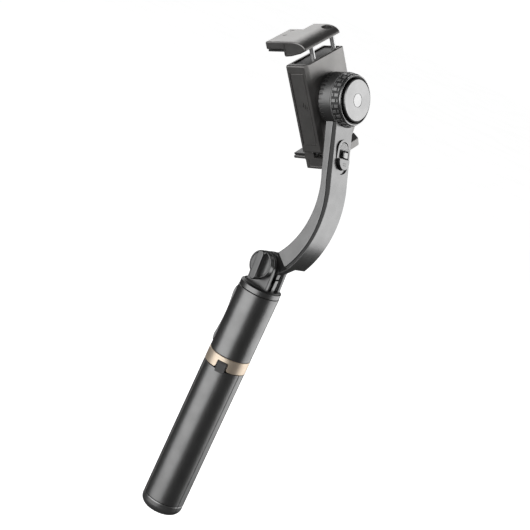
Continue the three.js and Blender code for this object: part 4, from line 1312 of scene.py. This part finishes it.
def add_clamp_body():
    half, top, front = BODY.half, BODY.top, BODY.front
    outline = rounded(body_outline(), [0.0012, 0.002, 0.002, 0.0012, 0.0012])
    shell = to_object(extruded(outline, BODY.rear, front, 0.0009, 5, 0.0004), "clamp_case")
    room = extruded(body_outline(BODY.wall), BODY.rear - 0.001, front - 0.0022)
    low = (-half - 0.001, PANEL.bottom, PANEL.rear)
    recess = block(low, (-half + PANEL.depth, PANEL.top, PANEL.front), 0.0004)
    chamfer = [(-half - 0.001, 0.0171), (-half - 0.001, front + 0.001), (-0.0129, front + 0.001)]
    wide_edge = moved(extruded(chamfer, -0.05, 0.05), ALONG_CLAMP_Y)
    deck_room = block((DECK.left, top - 0.0013, DECK.rear), (DECK.right, top + 0.001, DECK.front), 0.0004)
    tools = [room, recess, wide_edge, deck_room] + rod_holes(top - 0.004, top + 0.002)
    cut(shell, tools)
    soften(shell, 0.0003, 3, 20)
    piece(shell, charcoal_plastic, "clamp", ["clamp_body"], CLAMP_FRAME)
    low = (DECK.left + 0.0002, top - 0.0014, DECK.rear + 0.0002)
    deck = block(low, (DECK.right - 0.0002, top - 0.0009, DECK.front - 0.0002), 0.0001)
    deck = to_object(deck, "rod_deck")
    cut(deck, rod_holes(top - 0.004, top + 0.002))
    piece(deck, black_and_painted_shade, "clamp", [], CLAMP_FRAME)
    back = extruded(rounded(body_outline(BACK.inset), 0.0008), BACK.rear, BACK.front, 0.0002, 2)
    back = to_object(back, "clamp_rear_plate")
    piece(back, dark_trim_and_painted_shade, "clamp", ["clamp_back"], CLAMP_FRAME)


def add_side_panel():
    """An inset panel with three short vent slots."""
    gap = PANEL.gap
    outline = box_outline(PANEL.bottom + gap, PANEL.rear + gap, PANEL.top - gap, PANEL.front - gap, 0.0008)
    low, high = BODY.half - PANEL.depth, BODY.half - 0.0001
    plate = to_object(extruded(outline, low, high, 0.0003, 3), "vent_panel")
    slot = box_outline(-VENT.half, -VENT.half_width, VENT.half, VENT.half_width, 0.00025)
    lean = Matrix.Rotation(math.radians(VENT.lean), 4, "Z")
    tools = []
    for row in (-1, 0, 1):
        place = Matrix.Translation((VENT.x - row * VENT.step_x, VENT.y + row * VENT.step_y, 0))
        tools.append(moved(extruded(slot, 0.01, 0.03), place @ lean))
    cut(plate, tools)
    # x up the clamp, y along the motor's axis, z out of the clamp's left side
    side = frame_matrix(Vector((0, 0, 0)), Vector((0, 1, 0)), Z_AXIS, -X_AXIS)
    piece(plate, charcoal_plastic, "clamp", ["side_panel"], CLAMP_FRAME @ side)


def add_phone_pad():
    """A soft pad with grooves across it."""
    half_x, half_y = PAD.half
    outline = box_outline(-half_x, -half_y, half_x, half_y, PAD.corner)
    pad = to_object(extruded(outline, 0, PAD.thickness, 0.0002, 3, 0.0004), "grip_pad")
    tools = bmesh.new()
    reach, groove = half_x - 0.002, PAD.groove
    for row in range(PAD.grooves):
        y = (row - (PAD.grooves - 1) / 2) * PAD.pitch
        append(tools, block((-reach, y - groove, -0.001), (reach, y + groove, groove)))
    cut(pad, [tools])
    piece(pad, rubber, "clamp", ["phone_pad"], CLAMP_FRAME)


def add_lower_jaw():
    """A hooked jaw with a catch in a pocket at its left end, and a soft pad on its lip."""
    half, tip, front, root = LOWER_JAW.half, LOWER_JAW.tip, LOWER_JAW.front, JAW_ROOT
    under, bottom, lip_top = LOWER_JAW.under, LOWER_JAW.bottom, LOWER_JAW.lip_top
    seat = BODY.bottom - GAP
    corners = [(root, seat), (0.0165, seat), (front, -0.0345), (front - 0.0005, -0.0395), (0.012, bottom)]
    corners += [(root, bottom), (root, under), (tip, under), (tip, lip_top), (root, lip_top)]
    radii = [0.0003, 0.0008, 0.0012, 0.0015, 0.0015, 0.0008, 0.0008, 0.0009, 0.0009, 0.0004]
    jaw = moved(extruded(rounded(corners, radii), -half, half, 0.0007), ALONG_CLAMP_X)
    jaw = to_object(jaw, "fixed_jaw")
    pocket = block((-half - 0.001, -0.0352, 0.0085), (-half + 0.005, -0.0300, 0.0250), 0.0003)
    end_panel = block((-half - 0.001, -0.0418, 0.0032), (-half + 0.0004, -0.0366, 0.0160), 0.0003)
    cut(jaw, [pocket, end_panel])
    piece(jaw, charcoal_plastic, "clamp", ["lower_jaw"], CLAMP_FRAME)
    catch = block((-half + 0.0012, -0.0340, 0.0092), (-half + 0.0052, -0.0318, 0.0112), 0.0004)
    piece(to_object(catch, "jaw_catch"), arm_paint, "clamp", ["lower_jaw"], CLAMP_FRAME)
    pad = block((-JAW_PAD_HALF, -0.0341, -0.009), (JAW_PAD_HALF, -0.0327, 0.0001), 0.0004)
    piece(to_object(pad, "fixed_jaw_pad"), rubber, "clamp", ["lower_jaw_pad"], CLAMP_FRAME)


def jaw_roll(inset):
    """The upper jaw's front as (z, y) points, rolling from its lower edge up to its flat top."""
    roll, steps = JAW.roll, 15
    depth, height = roll.depth - inset, JAW.top - roll.y - inset
    points = []
    for step in range(steps + 1):
        angle = math.radians(roll.start + (90 - roll.start) * step / steps)
        points.append((roll.z + depth * math.cos(angle), roll.y + height * math.sin(angle)))
    return points


def jaw_cuts():
    """The thumb hollow and the two slanted dashes in the upper jaw's top."""
    top = JAW.top
    thumb = extruded(box_outline(0.0112, 0.0092, 0.0174, 0.0160, 0.0030), top - 0.0029, 0.05)
    cuts = [moved(thumb, ALONG_CLAMP_Y)]
    lean = Matrix.Rotation(math.radians(52), 4, "Z")
    for x, z in ((-0.0055, -0.0073), (0.0040, -0.0085)):
        dash = extruded(box_outline(-0.0016, -0.0005, 0.0016, 0.0005, 0.0004), top - 0.0007, top + 0.001)
        cuts.append(moved(dash, ALONG_CLAMP_Y @ Matrix.Translation((x, z, 0)) @ lean))
    return cuts


def add_upper_jaw():
    half, tip, front, root = JAW.half, JAW.tip, JAW.front, JAW_ROOT
    under, top, bottom = JAW.under, JAW.top, JAW.bottom
    roll = jaw_roll(0)
    corners = [(tip, under), (root, under), (root, bottom), (0.0062, bottom + 0.0005)]
    corners += [(0.0140, 0.0382), (front, JAW.roll.y), *roll, (tip, top)]
    outline = rounded(corners, [0.0008, 0.0003, 0.0012, 0.002, 0.002, 0.0004] + [0] * len(roll) + [0.0015])
    # The phone's camera side of the jaw reaches a little further than its left end.
    jaw = moved(extruded(outline, -half - 0.0009, half, 0.0009, 5), ALONG_CLAMP_X)
    jaw = to_object(jaw, "sliding_jaw")
    lens_side = block((JAW.lip_end, 0.030, -0.020), (half + 0.001, 0.060, -0.0012))
    rim = 0.0013
    end_panel = [(root + rim, bottom + rim), (0.0062, bottom + 0.0005 + rim), (0.0140, 0.0382 + rim)]
    end_panel += jaw_roll(rim) + [(root + rim, top - rim)]
    end_cut = moved(extruded(end_panel, half - 0.0005, half + 0.001), ALONG_CLAMP_X)
    sockets = rod_holes(bottom - 0.001, ROD.top + GAP)
    cut(jaw, [lens_side, end_cut] + sockets + jaw_cuts())
    piece(jaw, charcoal_plastic, "jaw", ["upper_jaw"], CLAMP_FRAME)
    pad = block((-JAW_PAD_HALF, 0.0393, -0.0132), (JAW.lip_end - 0.0006, 0.0407, 0.0002), 0.0004)
    piece(to_object(pad, "sliding_jaw_pad"), rubber, "jaw", ["upper_jaw_pad"], CLAMP_FRAME)


def add_rods():
    radius, low, high = ROD.radius, ROD.bottom, ROD.top
    for number, x in enumerate(rod_places(), start=1):
        profile = rounded([(0, low), (radius, low), (radius, high), (0, high)], [0, 0.0003, 0.0003, 0])
        rod = moved(revolved(profile, 48), Matrix.Translation((x, 0, ROD.z)) @ Z_TO_Y)
        rod = to_object(rod, f"slide_rod_{number}")
        piece(rod, chrome, "jaw", [f"guide_rod_{number}"], CLAMP_FRAME)


def add_spring():
    """A coil between the rods."""
    length = SPRING.top - SPRING.bottom
    path = []
    steps = SPRING.turns * 24
    for step in range(steps + 1):
        angle = TURN * SPRING.turns * step / steps
        x = ROD.centre + SPRING.radius * math.cos(angle)
        z = SPRING.z + SPRING.radius * math.sin(angle)
        path.append(Vector((x, SPRING.bottom + length * step / steps, z)))
    spring = to_object(tube(path, SPRING.wire), "return_spring")
    piece(spring, plain_steel, "clamp", ["jaw_spring"], CLAMP_FRAME)
    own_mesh(spring)


# ------------------------------------------------------------------ CAD nodes that stay

KEPT = {
    "handle_core": black_and_painted_shade,
    "leg_hub": dark_trim_and_painted_shade,
    "leg_pin_1": plain_steel,
    "leg_pin_2": plain_steel,
    "leg_pin_3": plain_steel,
    "remote_board": circuit_board,
    "remote_cell": plain_steel,
    "hinge_nut": plain_steel,
    "arm_battery": wrapped_cell,
    "switch_board": circuit_board,
    "driver_board": circuit_board,
    "motor_stator": copper_winding,
    "bearing_rear": plain_steel,
    "bearing_front": plain_steel,
    "rotor_magnet": magnet_plate,
    "motor_shaft": chrome,
    "sensor_board": circuit_board,
    "rod_bridge": plain_steel,
}


def dress_kept_nodes():
    for name, maker in KEPT.items():
        node = frame["nodes"][name]
        node.data.materials.clear()
        node.data.materials.append(material(maker))


# ------------------------------------------------------------------ assembly

add_stage()
for leg_number in LEG_JOINTS:
    add_leg(leg_number)
add_collar()
add_tube()
add_remote_case()
add_remote_key()
add_pole()
add_cap()
add_yoke()
add_knob()
add_arm_shell()
add_arm_cover()
add_switches()
add_housing()
add_trim_ring()
add_motor_cap()
add_bell()
add_clamp_body()
add_side_panel()
add_phone_pad()
add_lower_jaw()
add_upper_jaw()
add_rods()
add_spring()
dress_kept_nodes()
